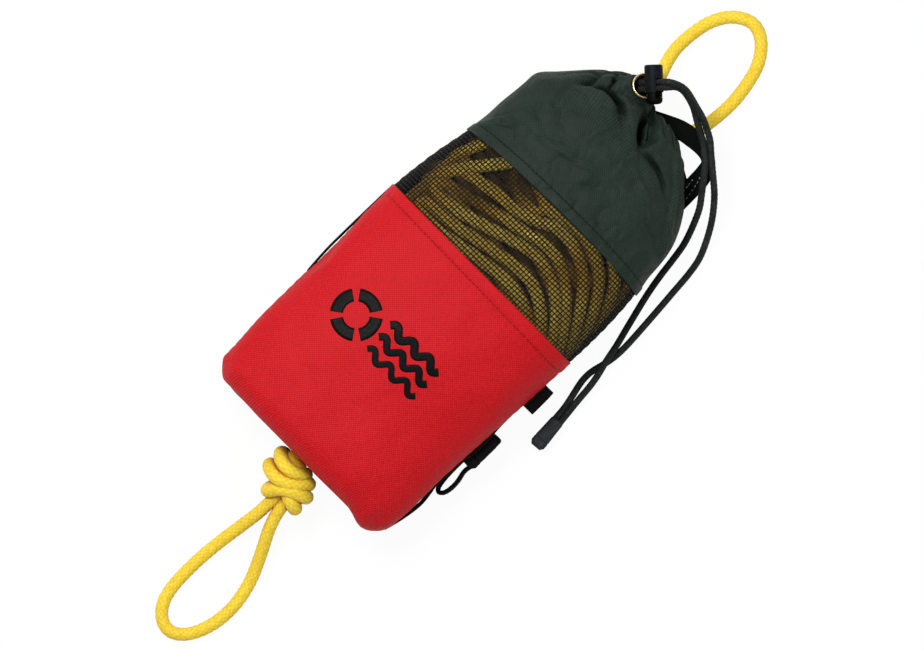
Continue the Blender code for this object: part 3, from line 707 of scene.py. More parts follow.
def line_distance(x, y, line):
    """For points in plan: distance from a broken line, share of the way along it, and if left of it."""
    best = np.full(np.broadcast(x, y).shape, 1e9)
    share, left = np.zeros_like(best), np.zeros(best.shape, bool)
    for k, ((ax, ay), (bx, by)) in enumerate(zip(line, line[1:])):
        dx, dy = bx - ax, by - ay
        t = np.clip(((x - ax) * dx + (y - ay) * dy) / (dx * dx + dy * dy), 0, 1)
        distance = np.hypot(x - ax - t * dx, y - ay - t * dy)
        closer = distance < best
        best = np.where(closer, distance, best)
        share = np.where(closer, (k + t) / (len(line) - 1), share)
        left = np.where(closer, dx * (y - ay) - dy * (x - ax) > 0, left)
    return best, share, left


# Soft creases of the red panel: line of (x, y), half width, height.
RED_FOLDS = (
    (((-97, 87), (-85, 84), (-75, 81), (-65, 79), (-50, 80), (-30, 82), (-8, 83)), 3.4, 1.1),
    (((-80, 86), (-66, 84.5), (-50, 85), (-30, 86)), 2.6, -0.8),
    (((-172, 74), (-160, 81), (-140, 84), (-120, 84)), 4.0, 0.5),
    (((-128, 70), (-112, 62), (-100, 66)), 7.0, -0.5), (((-178, 40), (-164, 44), (-150, 40)), 5.0, 0.35),
    (((-150, -70), (-120, -64), (-90, -70)), 7.0, -0.5), (((-60, -76), (-44, -70), (-28, -74)), 5.0, 0.3),
)


def front_cloth(material):
    """The red panel, from its hem round the base's edge, with its creases."""
    rows = base_rows(0.0, 1.5)
    x, angle = np.broadcast_arrays(rows[:, :1], np.linspace(SEAM_ANGLE, 180 - SEAM_ANGLE, 190)[None, :])
    x = x + (HEM_X + 1.3 * np.cos(np.radians(angle))) * smooth(x, -60, 0)  # the hem runs a little aslant
    grid = skin(x, angle, np.broadcast_to(rows[:, 1:], x.shape))
    plan_x, y = grid[..., 0], grid[..., 1]
    seam_distance = np.minimum(angle - SEAM_ANGLE, 180 - SEAM_ANGLE - angle) * ARC
    line = hem_stitch_x(y)
    calm = smooth(seam_distance, 0, 12) * smooth(x, -179, -150) * smooth(HEM_X - x, 2, 22)
    lift = (0.9 * undulation(plan_x, y, 62, 3) + 0.35 * undulation(plan_x, y, 22, 5)) * calm
    lift += 0.14 * seam_puckers(x, seam_distance, 11)
    for fold, half_width, height in RED_FOLDS:
        distance, share, _ = line_distance(plan_x, y, fold)
        lift += height * hump(distance, half_width) * np.sin(np.clip(share, 0.02, 0.98) * math.pi) ** 0.6
    lift += 0.55 * smooth(x, line - 1.0, line + 0.6)  # the doubled hem
    lift -= 0.38 * hump(x - line, 0.8)  # and its stitches' groove
    lift += 0.16 * np.sin(y * TURN / 6.5) * hump(x - line, 5.0)
    gathers = hump(x + 170, 9.0) * smooth(np.abs(y), 45, 80)
    lift += 0.7 * gathers * np.sin(y / 2.6 + undulation(y, x * 0, 20, 8))
    lift += 1.1 * hump(y + 66, 12) * smooth(-x, 168, 180)
    return belong(sheet("red_front", grid, False, material, lift), "red_cloth", "bag", "front_panel")


def back_cloth(material):
    """The back, drawn in under the collar's edge."""
    rows = base_rows(COLLAR_SIDE_X + 3, 2.0)
    first, last = 179.2, 360.8
    x, angle = np.broadcast_arrays(rows[:, :1], np.linspace(first, last, 150)[None, :])
    grid = skin(x, angle, np.broadcast_to(rows[:, 1:], x.shape) + 0.6)
    grid[..., 0] += 1.2 * (1 - smooth(x, BASE_X, BASE_X + CORNER_R))
    lift = 0.25 * seam_puckers(x, np.minimum(angle - first, last - angle) * ARC, 21)
    lift -= 0.9 * smooth(x, COLLAR_SIDE_X - 4, COLLAR_SIDE_X)
    belong(sheet("black_back", grid, False, material, lift), "black_cloth", "bag", "back_panel")


def base_cloth(material):
    """The base: a dished panel with a hole inside its grommet."""
    angles = np.linspace(0, 360, 160, endpoint=False)
    rim = skin(np.full(angles.shape, BASE_X), angles, CORNER_R + 0.6)
    rim[:, 0] += 1.2
    y, z = BASE_HOLE_R * np.cos(np.radians(angles)), BASE_HOLE_R * np.sin(np.radians(angles))
    hole = np.stack([np.full(angles.shape, BASE_PANEL_X), y, BASE_HOLE_Z + z], 1)
    share = np.linspace(0, 1, 40)[:, None, None]
    grid = rim[None] * (1 - share) + hole[None] * share
    dished = smooth(share[..., 0], 0.0, 0.16)
    grid[..., 0] = rim[None, :, 0] * (1 - dished) + BASE_PANEL_X * dished
    grid[..., 0] += 0.35 * undulation(grid[..., 1], grid[..., 2], 20, 31) * smooth(share[..., 0], 0, 0.3)
    belong(sheet("black_base", grid, True, material), "black_cloth", "bag", "base_panel")


# The collar's folds over the front: line of (x, y), half widths to its left and right, height.
COLLAR_FOLDS = (
    (((141, -18.5), (146, -13), (151, -8.5), (158, -2.5), (166, -0.5)), 9.0, 1.6, 3.4),
    (((144, -19.5), (150, -14), (156, -10), (163, -8.5), (170, -8.5)), 3.4, 3.4, -11),
    (((149, -20), (154, -20), (160, -15), (168, -11)), 2.6, 2.6, -5.5),
    (((153, -12.5), (160, -11), (168, -9.5)), 1.4, 1.4, 2.0),
    (((142, -20), (148, -23.5), (154, -25.5), (162, -23)), 1.5, 6.0, 2.6),
    (((142.5, -22), (143.2, -30), (142, -39), (138, -48), (132, -56)), 1.2, 3.4, -4.6),
    (((139.5, -21), (139.5, -30), (137.5, -40), (133, -50)), 2.2, 6.0, 1.3),
    (((146, 42), (153, 38), (162, 36.5)), 2.4, 2.0, -5.5),
    (((142, 40), (147, 34), (151, 27), (151, 17), (147, 8)), 2.4, 7.5, 3.2),
    (((151, 35), (155.5, 29), (157, 20), (155.5, 11), (150, 4)), 2.4, 2.6, -8),
    (((157, 26), (163, 26.5), (169, 28)), 1.3, 1.3, -4), (((160, 20), (163, 15), (165, 9)), 1.3, 1.3, -1.3),
    (((165, 22), (166, 14), (167, 4)), 1.6, 1.6, 1.0),
    (((96, -85), (110, -77), (125, -67), (140, -57), (152, -46), (161, -36)), 1.5, 8.0, 3.6),
    (((112, -80), (126, -71), (140, -61), (151, -51)), 3.0, 3.0, -3.4),
    (((76, 74), (84, 62), (90, 52), (100, 49)), 1.4, 2.4, 1.4),
    (((78, 73), (90, 63.5), (101, 59)), 1.2, 2.0, 1.3),
    (((100, 42), (98, 28), (101, 10), (106, -1), (110, -4)), 1.4, 1.4, -0.6),
    (((104, 46), (101, 38), (102, 22), (106, 8), (111, 1), (118, 4)), 1.2, 2.4, 0.6),
    (((112, 16), (120, 11), (128, 10), (140, 5)), 1.2, 1.8, 0.6),
    (((116, 36), (124, 30), (134, 29), (144, 24)), 1.0, 2.0, 0.6),
    (((84, 30), (90, 22), (92, 8)), 1.2, 2.4, 0.5),
    (((108, -16), (116, -20), (126, -18), (136, -12)), 1.2, 2.4, 0.7),
    (((120, -30), (128, -34), (134, -44)), 1.2, 2.2, -0.8),
    (((104, 56), (118, 57), (132, 50), (142, 50)), 3.0, 3.0, 0.8),
    (((120, 44), (130, 47), (140, 46)), 2.4, 2.4, -1.2),
    (((88, -10), (98, -11), (104, -22)), 3.0, 3.0, -1.1),
    (((131, -24), (126, -36), (122, -48), (113, -56)), 1.6, 1.6, 0.8),
    (((118, -50), (108, -60), (104, -72), (97, -84)), 1.8, 1.8, -1.4),
    (((100, -62), (96, -74), (88, -84)), 2.4, 2.4, 0.6), (((118, 62), (127, 66), (130, 62)), 3.0, 3.0, 0.8),
)


def by_mouth_grommet(points):
    """Distance of points from the mouth's grommet, seen from above."""
    return np.hypot(points[..., 0] - MOUTH_GROMMET[0], points[..., 1] - MOUTH_GROMMET[1])


def collar_lift(x, angle, points):
    """How far the collar's cloth stands off its smooth form: folds, gathers, hems and ripples."""
    y, z = points[..., 1], points[..., 2]
    front = smooth(np.sin(np.radians(angle)), 0.0, 0.25)
    lift = np.zeros(x.shape)
    for line, left_width, right_width, height in COLLAR_FOLDS:
        distance, share, left = line_distance(x, y, line)
        fade = np.sin(np.clip(share, 0.03, 0.97) * math.pi) ** 0.5
        lift += height * np.exp(-((distance / np.where(left, left_width, right_width)) ** 1.7)) * fade * front
    edge, turn = collar_edge(angle), np.radians(angle)
    calm, gather = smooth(x - edge, 4, 18), smooth(x, 140, 174)
    pleats = np.sin(17 * turn + 1.6 * np.sin(3 * turn + 0.4) + 0.02 * x)
    pleats += 0.6 * np.sin(29 * turn + 2.0 * np.sin(2 * turn))
    lift += 0.8 * pleats * np.where(z > 30, smooth(by_mouth_grommet(np.stack([x, y], -1)), 9, 20), 1) * gather
    lift += 0.9 * undulation(x, y + z, 42, 41) * calm * (1 - 0.5 * gather)
    lift += 0.4 * undulation(x, y - z, 17, 43) * calm
    stitch = edge + COLLAR_STITCH
    lift += 0.55 * (1 - smooth(x, stitch - 0.6, stitch + 1.0)) - 0.4 * hump(x - stitch, 0.9)
    lift += 0.2 * np.sin(y * TURN / 7.0) * hump(x - stitch, 5.0)
    inside = mouth_edge(angle) - x
    return lift + 0.7 * hump(inside - 4.0, 3.0) - 0.6 * hump(inside - 9.0, 1.2)  # the drawcord's hem


def collar_cloth(material):
    """The gathered collar: a closed tube of cloth from the netting to the mouth, dished under its grommet."""
    angles = np.linspace(0, 360, 560, endpoint=False)[None, :]
    share = np.linspace(0, 1, 170)[:, None]
    x = collar_edge(angles) + (mouth_edge(angles) - collar_edge(angles)) * share
    angle = np.broadcast_to(angles, x.shape)
    grid = skin(x, angle)
    lift = np.minimum(collar_lift(x, angle, grid), np.where(grid[..., 2] < 2.0, 0.1, 4.0))
    away = by_mouth_grommet(grid)
    near = (1 - smooth(away, 9, 17)) * (grid[..., 2] > 30)
    seat = MOUTH_GROMMET[2] - (grid[..., 0] - MOUTH_GROMMET[0]) * math.tan(MOUTH_TILT) - 0.4
    grid[..., 2] = grid[..., 2] * (1 - near) + seat * near
    grid[..., 2] -= 6.0 * (1 - smooth(away, 6.5, 8.6)) * (grid[..., 2] > 30)
    made = sheet("green_collar", grid, True, material, lift * (1 - near))
    return belong(made, "green_cloth", "bag", "collar")


def netting(material):
    """Square netting, its threads passing over and under each other."""
    first, last = -1.0, COLLAR_SIDE_X + COLLAR_RISE + 5
    fine = np.linspace(SEAM_ANGLE, 180 - SEAM_ANGLE, 1200)
    run = distance_run(skin(np.full(fine.shape, 36.0), fine, NET_INSET))
    lengthwise, crosswise = round(run[-1] / NET_PITCH), round((last - first) / NET_PITCH)
    steps_round = np.interp(np.linspace(0, run[-1], 2 * lengthwise + 1), run, fine)
    x, angle = np.meshgrid(np.linspace(first, last, 2 * crosswise + 1), steps_round, indexing="ij")
    grid = skin(x, angle, NET_INSET)
    outward = normals_of(grid, False)
    row, column = np.indices(x.shape)
    weave = (NET_R * 0.62 * np.cos(math.pi * row / 2) * np.cos(math.pi * column / 2))[..., None]
    over, under = grid + outward * weave, grid - outward * weave
    lengthways = (over[:, ::2].swapaxes(0, 1), outward[:, ::2].swapaxes(0, 1))
    sides = 6
    points, faces, lays = [], [], []
    for paths, up in (lengthways, (under[::2], outward[::2])):
        start = sum(len(p) for p in points)
        count, length = paths.shape[:2]
        side = np.cross(unit(np.gradient(paths, axis=1)), up)
        points.append(tube(paths, side, up, NET_R, turns(sides)).reshape(-1, 3))
        faces += [grid_faces(length, sides, True) + start + k * length * sides for k in range(count)]
        lay = lay_of((np.arange(length) * NET_PITCH / 2)[:, None], turns(sides), 1.0)
        lays.append(np.tile(lay.reshape(-1, 3), (count, 1)))
    points, faces, lays = (np.concatenate(parts) for parts in (points, faces, lays))
    belong(piece("black_netting", points, faces, material, lays), "netting", "bag", "mesh_window")


def rope_height(x, y, inset):
    """z of the bag's front skin over x, y, brought in by inset."""
    left, right = envelope(x, 1) - inset, envelope(x, 2) + inset
    c = np.clip(np.abs((2 * y - left - right) / (left - right)), 0, 0.999) ** (1 / FRONT_ROUND)
    return SEAM_Z + (envelope(x, 3) - inset - SEAM_Z) * np.sqrt(1 - c * c) ** FRONT_ROUND


# The stowed rope's strands behind the netting: x, y and how deep under the skin each passes.
STOWED = (
    ((-14, -66, 9), (-2, -54, 4), (7, -40, 2), (11, -24, 1), (10.5, -6, 0.5), (8, 12, 0.5), (4.5, 30, 0.5),
     (2.5, 48, 1), (3.5, 60, 1.4), (8, 67, 2.2), (12, 61, 1.2), (12.5, 50, 0.6), (14, 32, 1.5),
     (18, 14, 0.5), (21, -3, 0.4), (23.5, -20, 0.6), (22, -34, 1), (14, -48, 1), (3, -60, 2),
     (-12, -70, 6)),
    ((-10, -77, 5), (8, -67, 1.2), (20, -58, 0.8), (29, -47, 1), (35, -37, 1.6), (39, -24, 0.8),
     (37.5, -11, 0.4), (33.5, 3, 0.4), (28.5, 18, 0.6), (23.5, 36, 0.6), (21, 50, 1), (20.5, 61, 1.6),
     (25, 67.5, 2.6), (30.5, 61, 2.6), (32, 52, 5), (34.5, 40, 7), (38.5, 26, 5.4), (42, 12, 1.6),
     (44.5, -4, 0.5), (48.5, -18, 0.6), (47.5, -31, 0.6), (42, -43, 0.8), (32, -55, 1.4), (18, -67.5, 0.8),
     (2, -77, 2.4), (-14, -82, 7)),
    ((26, 78, 12), (36, 72, 6), (42, 64, 4), (46, 54, 1.6), (48.5, 40, 0.8), (50.5, 24, 1), (51.5, 8, 0.6),
     (56, -6, 0.6), (63, -16, 0.8), (62.5, -30, 0.8), (57.5, -44, 0.8), (49, -56, 0.8), (38, -65, 0.8),
     (24, -73.5, 1), (6, -81, 2), (-12, -84, 4)),
    ((20, 73, 7), (31, 67.5, 2), (43, 61, 0.2), (54, 53, 0.1), (65, 44, 0.2), (78, 34, 3), (92, 28, 8)),
    ((90, 24, 8), (80, 15, 3), (71, 6, 1.4), (66, -5, 0.8), (70.5, -20, 0.9), (71.5, -36, 0.8),
     (67, -50, 0.8), (58.5, -62, 1), (46, -71.5, 0.8), (30, -79, 1), (12, -82, 2), (-8, -83, 4)),
    ((84, 4, 9), (75, -4, 5), (60, -2, 2.6), (58, 10, 3), (61, 22, 6), (70, 32, 7), (84, 40, 10)),
    ((92, -24, 6), (82, -36, 2.4), (79, -50, 1.4), (72, -64, 1.2), (60, -75, 1), (44, -80.5, 1.2),
     (26, -82.5, 3)),
    ((-14, 70, 6), (4, 71, 4), (20, 69, 3.4), (36, 69, 3), (52, 68, 2.6), (66, 62, 2.6), (82, 56, 5)),
    ((-14, -81, 12), (14, -81.5, 8), (40, -81.5, 5), (62, -80, 4), (82, -77, 6)),
)
# Where the layers beneath fall away: x, y, half widths, fall.
HOLLOWS = (
    (39, 36, 6, 10, 5), (61, 30, 8, 7, 13), (54, -33, 4, 9, 13), (57, -69, 8, 5, 13), (59, 52, 9, 6, 8),
    (27, -4, 3, 9, 5), (23, -45, 4, 5, 6),
)
# The layers beneath: slope of their strands, share of the hollows' fall, depth.
LAYERS = ((0.30, 1.0, 7.2), (-0.42, 0.5, 15.5))


def stowed_ropes(material):
    """Flaked rope behind the netting: traced strands over deeper layers that cross them."""

    def lie(x, y, depth):
        """A path at this depth inside the cloth, with how dim the netting and the strands above leave it, for
        painted shade.
        """
        wall = ROPE_R + 1.8
        y = np.clip(y, envelope(x, 2) + wall, envelope(x, 1) - wall)
        z = rope_height(np.clip(x, -60, 110), y, 7.4) - depth
        return np.stack([x, y, np.maximum(z, 8), np.clip((depth - 0.8) / 8, 0, 1)], 1)

    paths = []
    for strand in STOWED:
        x, y, depth = soften(spline(strand, 2.0), 3).T
        paths.append(lie(x, y, depth + 1.5 * undulation(x, y, 24, 19) + 0.9))
    y = np.linspace(68, -78, 60)
    for layer, (slope, fall_share, deep) in enumerate(LAYERS):
        for k in range(13):
            seed = 30 * layer + k
            x = -34 + 9.8 * k + slope * (y - 10) + 2.5 * undulation(y, y * 0, 45, 90 + seed)
            depth = deep + 1.4 * undulation(y, y * 0, 30, 110 + seed)
            for hollow_x, hollow_y, wide, high, fall in HOLLOWS:
                depth = depth + fall * fall_share * hump(x - hollow_x, wide) * hump(y - hollow_y, high)
            inside = (x > -24) & (x < 86)
            if inside.sum() > 4:
                paths.append(lie(x, y, depth)[inside])
    made = []
    for number, path in enumerate(paths, 1):
        path = soften(respace(path, 2.0), 5)
        made.append(braided(f"stowed_rope_{number}", path, ROPE_R, material, ROPE_PLAIT, 0.3, 24, 1.0))
    belong(join(made, "stowed_ropes"), "rope", "bag", "stowed_rope")


def join(parts, name):
    """Several pieces of one material as one piece."""
    bpy.ops.object.select_all(action="DESELECT")
    for part in parts:
        part.select_set(True)
    bpy.context.view_layer.objects.active = parts[0]
    bpy.ops.object.join()
    parts[0].name = parts[0].data.name = name
    return parts[0]


# ---------------------------------------------------------------- ropes and cords

# The handle's rope: out of the base and round its loop, then the turns of its knot.
KNOT_TO_LOOP = (
    (-166, 0, 34), (-177, 0.6, 34), (-181.6, 3.6, 34.6), (-182.8, 3.4, 35.2), (-183.5, -1.5, 35.4),
    (-183.8, -7.5, 33.6), (-187.5, -10, 31), (-193, -9, 29.5), (-198.5, -7.8, 29.5),
    (-203.5, -7.9, 30), (-210, -8.3, 28), (-218, -7.8, 24), (-227, -7.3, 19), (-242, -5.2, 11.5),
    (-262, -2.2, 5.8), (-285, -0.3, 4.9), (-307, -1.0, 4.9), (-320, -5, 4.9), (-328, -13, 4.9),
    (-329, -23, 4.9), (-321, -32.5, 4.9), (-305, -39.3, 4.9), (-286, -41, 4.9), (-266, -37.4, 5.2),
    (-247, -29.5, 10.5), (-230, -21.2, 18.5), (-218, -17.2, 24), (-210, -15.4, 27), (-203, -13, 28),
    (-195, -8, 23),
)
KNOT_WRAPS = (
    (-188, -1, 19), (-184, 6.4, 21.5), (-184.8, 10.4, 30), (-187.5, 8.2, 39), (-189.6, 2, 43.8),
    (-188.9, -5, 42.8), (-186, -10.6, 37.5), (-183.8, -12.6, 29.5), (-185.5, -9.5, 20.5),
    (-190, -1, 16.5), (-195, 6.8, 19), (-196.4, 10.4, 28), (-198.3, 7.9, 36.5), (-199.4, 2, 41.6),
    (-198, -5, 42.6), (-194, -12, 40.5), (-188.8, -17.2, 35), (-187, -18.5, 27), (-190, -14.5, 18.5),
    (-198, -6, 15.5), (-207, -1.5, 19.5), (-210.4, -1.0, 27.5), (-208.4, -2.4, 35), (-204, -5.4, 39),
    (-200.3, -10.4, 40.6), (-197.7, -16.6, 39.2), (-195.4, -22.6, 34), (-195, -23.6, 26),
    (-199, -19.5, 18.5), (-204, -19.5, 18), (-206.0, -23.0, 24), (-205.6, -23.0, 32),
    (-204, -17, 36.6), (-201, -11, 35.5), (-197.5, -6.5, 33),
)
# The rope out of the mouth and round its loop.
THROW_PATH = (
    (120, -2, 30), (134, -4, 30), (142, -6, 29), (158, -2, 28), (176, 2, 24), (190, 6.3, 18.5),
    (202, 10.2, 12), (214, 11.9, 7.6), (230, 10.5, 5.4), (243, 7, 4.8), (255, -1, 4.8),
    (261.6, -13, 4.8), (259, -24, 4.8), (250, -33.2, 4.8), (237, -39.3, 4.8), (214, -43, 4.8),
    (190, -41.4, 5), (177.5, -37, 7.4), (168, -29.8, 14), (160, -24.6, 21.3), (148, -22.5, 26.5),
    (136, -20, 28.5), (122, -18, 30),
)
CORD_START = np.array((175.3, 10.2, 41.0))
CORD_WAY = unit(np.array((0.40, -0.383, 0.83)))
LOCK_CENTRE = CORD_START + CORD_WAY * 14.5
LOCK_AXIS = unit(np.array((0.69, 0.72, 0.0)))
CORD_UPPER = (
    *(CORD_START + CORD_WAY * run for run in (-6, 0, 14, 29)), (190.8, -5, 67), (193.4, -11.5, 62),
    (192.2, -20.5, 53), (188.4, -31.5, 43), (183.6, -41.5, 36.5), (179.2, -49.5, 34),
)
CORD_TAILS = (
    ((175.8, -56.8, 32.6), (170.6, -62.9, 31.6), (164.5, -70.2, 29), (155, -80.8, 23), (140, -92.4, 13.5),
     (120, -102.4, 5.2), (105, -105.4, 3.0), (90, -106.5, 2.6), (60, -108.5, 2.6), (36, -109.6, 2.7),
     (22, -108.4, 2.8), (8, -104.8, 2.9), (-2, -104.7, 3.2), (-12, -106.8, 4.4), (-24, -109.1, 5.4),
     (-36, -109.9, 5.7)),
    ((172.2, -54.4, 33.4), (166.4, -60.2, 32.4), (159.6, -65.6, 31), (150, -73.0, 27), (140, -79.8, 21),
     (120, -87.6, 9.5), (105, -90.3, 4.4), (90, -92.1, 2.7), (75, -94.6, 2.7), (60, -98.0, 2.8),
     (45, -101.6, 3.8), (32, -104.8, 6.2), (22, -106.6, 7.7), (8, -110.0, 6.8), (-2, -111.4, 5.9),
     (-12, -112.1, 5.6), (-36, -114.4, 5.7)),
)


def bend(made, slot, body, start, end, *nodes):
    """Bakes a rope or cord in place and hides the CAD nodes that it stands for; body, start and end, in
    metres, are not used.
    """
    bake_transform(belong(made, slot, None, *nodes))


def knot_swell(path):
    """The knot's turns press together, so the rope looks thicker there."""
    out = -path[:, 0]
    return 1 + 0.13 * smooth(out, 180, 186) * (1 - smooth(out, 208, 218)) * (path[:, 2] > 15.0)


def handle_rope(material):
    """One rope: out of the base, round the handle loop and back into its knot."""
    path = soften(spline(KNOT_TO_LOOP + KNOT_WRAPS, 0.6), 10)
    made = braided("handle_rope", path, ROPE_R, material, ROPE_PLAIT, 0.26, 54, 0.6, knot_swell)
    start, end = (-0.2145, -0.0127, 0.0245), (-0.238, -0.0127, 0.014)
    bend(made, "rope", "handle_loop", start, end, "handle_knot", "handle_loop", "base_rope")


def throw_rope(material):
    """The rope's running end: out of the mouth and round its loop."""
    path = soften(spline(THROW_PATH, 0.6), 8)
    made = braided("throw_rope_end", path, ROPE_R, material, ROPE_PLAIT, 0.26, 54, 0.6)
    start, end = (0.198, -0.0155, 0.006), (0.237, -0.0155, 0.006)
    bend(made, "rope", "throw_loop", start, end, "throw_rope", "throw_loop")


def drawcords(material):
    """Both strands of the drawcord, from the grommet through the lock to the cord end."""
    step = 2.0
    upper = spline(CORD_UPPER, step)
    run = np.arange(len(upper)) * step
    along = np.gradient(upper, axis=0)
    flat = unit(np.stack([-along[:, 1], along[:, 0], along[:, 0] * 0], 1))
    stacked = flat * 0.3 + np.array((0, 0, 0.95))
    early, late = smooth(run, 26, 46)[:, None], smooth(run, 66, 94)[:, None]
    aside = unit((LOCK_AXIS * (1 - early) + stacked * early) * (1 - late) + flat * late)

    def free(path):
        """0 in the lock, 1 clear of it."""
        return smooth(np.linalg.norm(path - LOCK_CENTRE, axis=1), 9, 18)

    aside = aside * (CORD_PINCHED_R + (CORD_R + 0.02 - CORD_PINCHED_R) * free(upper)[:, None])
    for number, letter, sign, tail in zip((1, 2), "ab", (1, -1), CORD_TAILS):
        path = soften(spline(np.vstack([upper + aside * sign, tail]), 0.7), 14)
        made = braided(f"drawcord_{number}", path, CORD_R, material, (7, 3.4), 0.3, 28, 0.55,
                       lambda path: 0.84 + 0.16 * free(path))
        start, end = (0.181, -0.0475, 0.031), (0.160, -0.078, 0.026)
        bend(made, "cord", "drawcord_tail", start, end, f"drawcord_{letter}", f"drawcord_tail_{letter}")


# ---------------------------------------------------------------- webbing, stitches and print

# The carrying loop's inner and outer edges in plan, its height, its sewn edge and its rows of stitches.
CARRY_INNER = ((161, -10), (163.5, -18), (165, -28), (167, -37), (168.6, -46), (168.6, -52.5), (166.4, -56.6),
               (160, -57.6), (152, -57.6), (142, -57.8), (132, -58))
CARRY_OUTER = ((170, -9), (175.6, -21), (179.6, -31), (181.2, -41), (180, -51), (176, -60.4), (169, -67.6),
               (160, -70.8), (150, -71.3), (141, -71.4), (131, -71.4))
CARRY_Z = (25, 24, 23, 22, 21.5, 21, 20.5, 20, 19, 18, 17)
CARRY_EDGE = ((166, -12, 27), (166.4, -19, 27), (163.6, -30, 26), (158, -41.5, 25), (150.5, -55, 23),
              (146, -62, 21))
CARRY_ROWS = (
    ((134, -67.6, 20), (146, -66.4, 21), (156, -64.2, 22), (163, -61, 23)),
    ((136, -62.4, 21), (146, -61.6, 22), (156, -60.8, 23)),
    ((165.2, -24, 30), (161.6, -33.5, 29.4), (156.6, -43.5, 28.4), (151, -53.6, 27)),
)
# The buckle's webbing loop seen from above: x, y.
BUCKLE_LOOP = (
    (-95.4, -93.6), (-95.3, -88.5), (-95.6, -86), (-96.8, -84.3), (-99, -83.7), (-104, -83.5),
    (-112, -83.5), (-119, -83.9), (-124.6, -84.9), (-127.4, -87.2), (-125.6, -90.0), (-121.5, -91.5),
    (-116, -91.9), (-111, -91.4), (-106, -90.3), (-102, -90.3), (-97.5, -91.3),
)
# The side tapes: outer edge seen from above, as x, y, and thickness.
TAPES = {
    "left": (((-160, 84.5), (-88, 85.4), (-82, 87.1), (-70, 88.0), (-58, 88.4), (-45, 88.2), (-30, 87.8),
              (0, 86.9)), 1.6),
    "right": (((-172, -79.2), (-166, -81.0), (-158, -82.9), (-148, -84.7), (-140, -85.2), (-131, -84.2),
               (-124, -83.4), (-100, -84.6), (-94, -86.1), (-88, -86.8), (-76, -86.9), (-68, -86.4),
               (-60, -86.2), (-40, -86.6)), 2.8),
}


def corners(node):
    """A CAD node's lowest and highest corners at rest."""
    return tuple(np.array(corner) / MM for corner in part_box(node))


def carry_loop(material, thread_material):
    """The black carrying loop beside the mouth, with its end sewn along the collar's edge."""
    share = np.linspace(0, 1, 60)
    edges = []
    for outline, lean in ((CARRY_INNER, 1.2), (CARRY_OUTER, -1.2)):
        edge = spline([(x, y, 0) for x, y in outline], 1.0)
        edge = columns_at(share, np.linspace(0, 1, len(edge)), edge)
        edge[:, 2] = np.interp(share, np.linspace(0, 1, len(CARRY_Z)), CARRY_Z) + lean
        edges.append(edge)
    inner, outer = edges
    loop = band("carry_webbing", (inner + outer) / 2, (outer - inner) / 2, 1.5, material, rib=0.1, columns=34)
    edge = band("carry_edge", spline(CARRY_EDGE, 1.0), (0.0, 0.0, 3.0), 3.6, material, rib=0.06)
    made = join([loop, edge], "carry_webbing")
    surface = Surface(made)
    sewn = []
    for k, row in enumerate(CARRY_ROWS):
        path, outward = surface.under(spline(row, 0.5)[:, :2])
        sewn.append(stitches(f"carry_stitches_{k}", path, outward, thread_material, 1.8, 1.6, 0.32))
    belong(join(sewn, "carry_stitches"), "black_webbing", "bag")
    belong(made, "black_webbing", "bag", "carry_loop")


def buckle_webbing(material):
    """The webbing loop through the buckle's plug, sewn under the bag's right edge."""
    path = spline([(x, y, 16) for x, y in BUCKLE_LOOP], 0.8)
    made = band("buckle_webbing", path, (0, 0.35, 10.7), 3.2, material, rib=0.09)
    belong(made, "black_webbing", "bag", "buckle_loop")


def side_tab(material):
    """A folded tab of webbing sewn into the right seam."""
    low, high = corners("side_tab")
    middle = (low + high) / 2
    radius = (high[2] - low[2]) / 2 - 0.75
    turn = np.radians(np.linspace(90, 270, 9))
    y = np.array([high[1] + 2, *(low[1] - 0.7 + radius + radius * np.cos(turn)), high[1] + 2])
    z = middle[2] + radius * np.array([1, *np.sin(turn), -1])
    path = np.stack([np.full(len(y), middle[0]), y, z], 1)
    width = ((high[0] - low[0]) / 2 - 0.3, 0, 0)
    made = band("side_tab_webbing", path, width, 1.25, material, rib=0.07, step=0.4)
    belong(made, "black_webbing", "bag", "side_tab")


def bindings(material):
    """Black tape over the side seams: it shows where the red cloth stands short of it."""
    for side, (edge, thick) in TAPES.items():
        low, high = corners(f"binding_{side}")
        x = np.linspace(low[0], high[0], 120)
        edge = spline([(x, y, 0) for x, y in edge], 1.0)
        y = np.interp(x, edge[:, 0], edge[:, 1]) - np.sign(edge[0, 1]) * thick / 2
        path = np.stack([x, y, np.full(len(x), SEAM_Z)], 1)
        made = band(f"seam_tape_{side}", path, (0, 0.2, 2.3), thick, material, rib=0.04, columns=18)
        belong(made, "black_webbing", "bag", f"binding_{side}")


def socket_strap(material):
    """The short strap of the buckle's socket, which runs in under the bag's edge."""
    low, high = corners("socket_strap")
    start = np.array((low[0], (low[1] + high[1]) / 2, (low[2] + high[2]) / 2))
    run = ((-4, -2.6, 5), (0, -1.9, 5), (4, -0.6, 4), (10, 2, 3), (17, 6.5, 2), (23, 11, 0))
    width = (0, 0, (high[2] - low[2]) / 2)
    made = band("socket_webbing", spline(start + run, 1.0), width, high[1] - low[1] - 0.1, material, rib=0.06)
    belong(made, "black_webbing", "buckle_socket", "socket_strap")


def sew(name, surface, points, material, slot):
    """A row of stitches over (x, y) points of a sheet."""
    belong(stitches(name, *surface.under(points), material), slot, "bag")


def printed_line(centre, half_width, count):
    """A flat strip of (x, y) points along a function of 0 to 1."""
    line = np.transpose(centre(np.linspace(0, 1, count)))
    tangent = unit(np.gradient(line, axis=0))
    side = np.stack([-tangent[:, 1], tangent[:, 0]], 1)
    return line[:, None, :] + side[:, None, :] * np.linspace(-half_width, half_width, 5)[:, None]


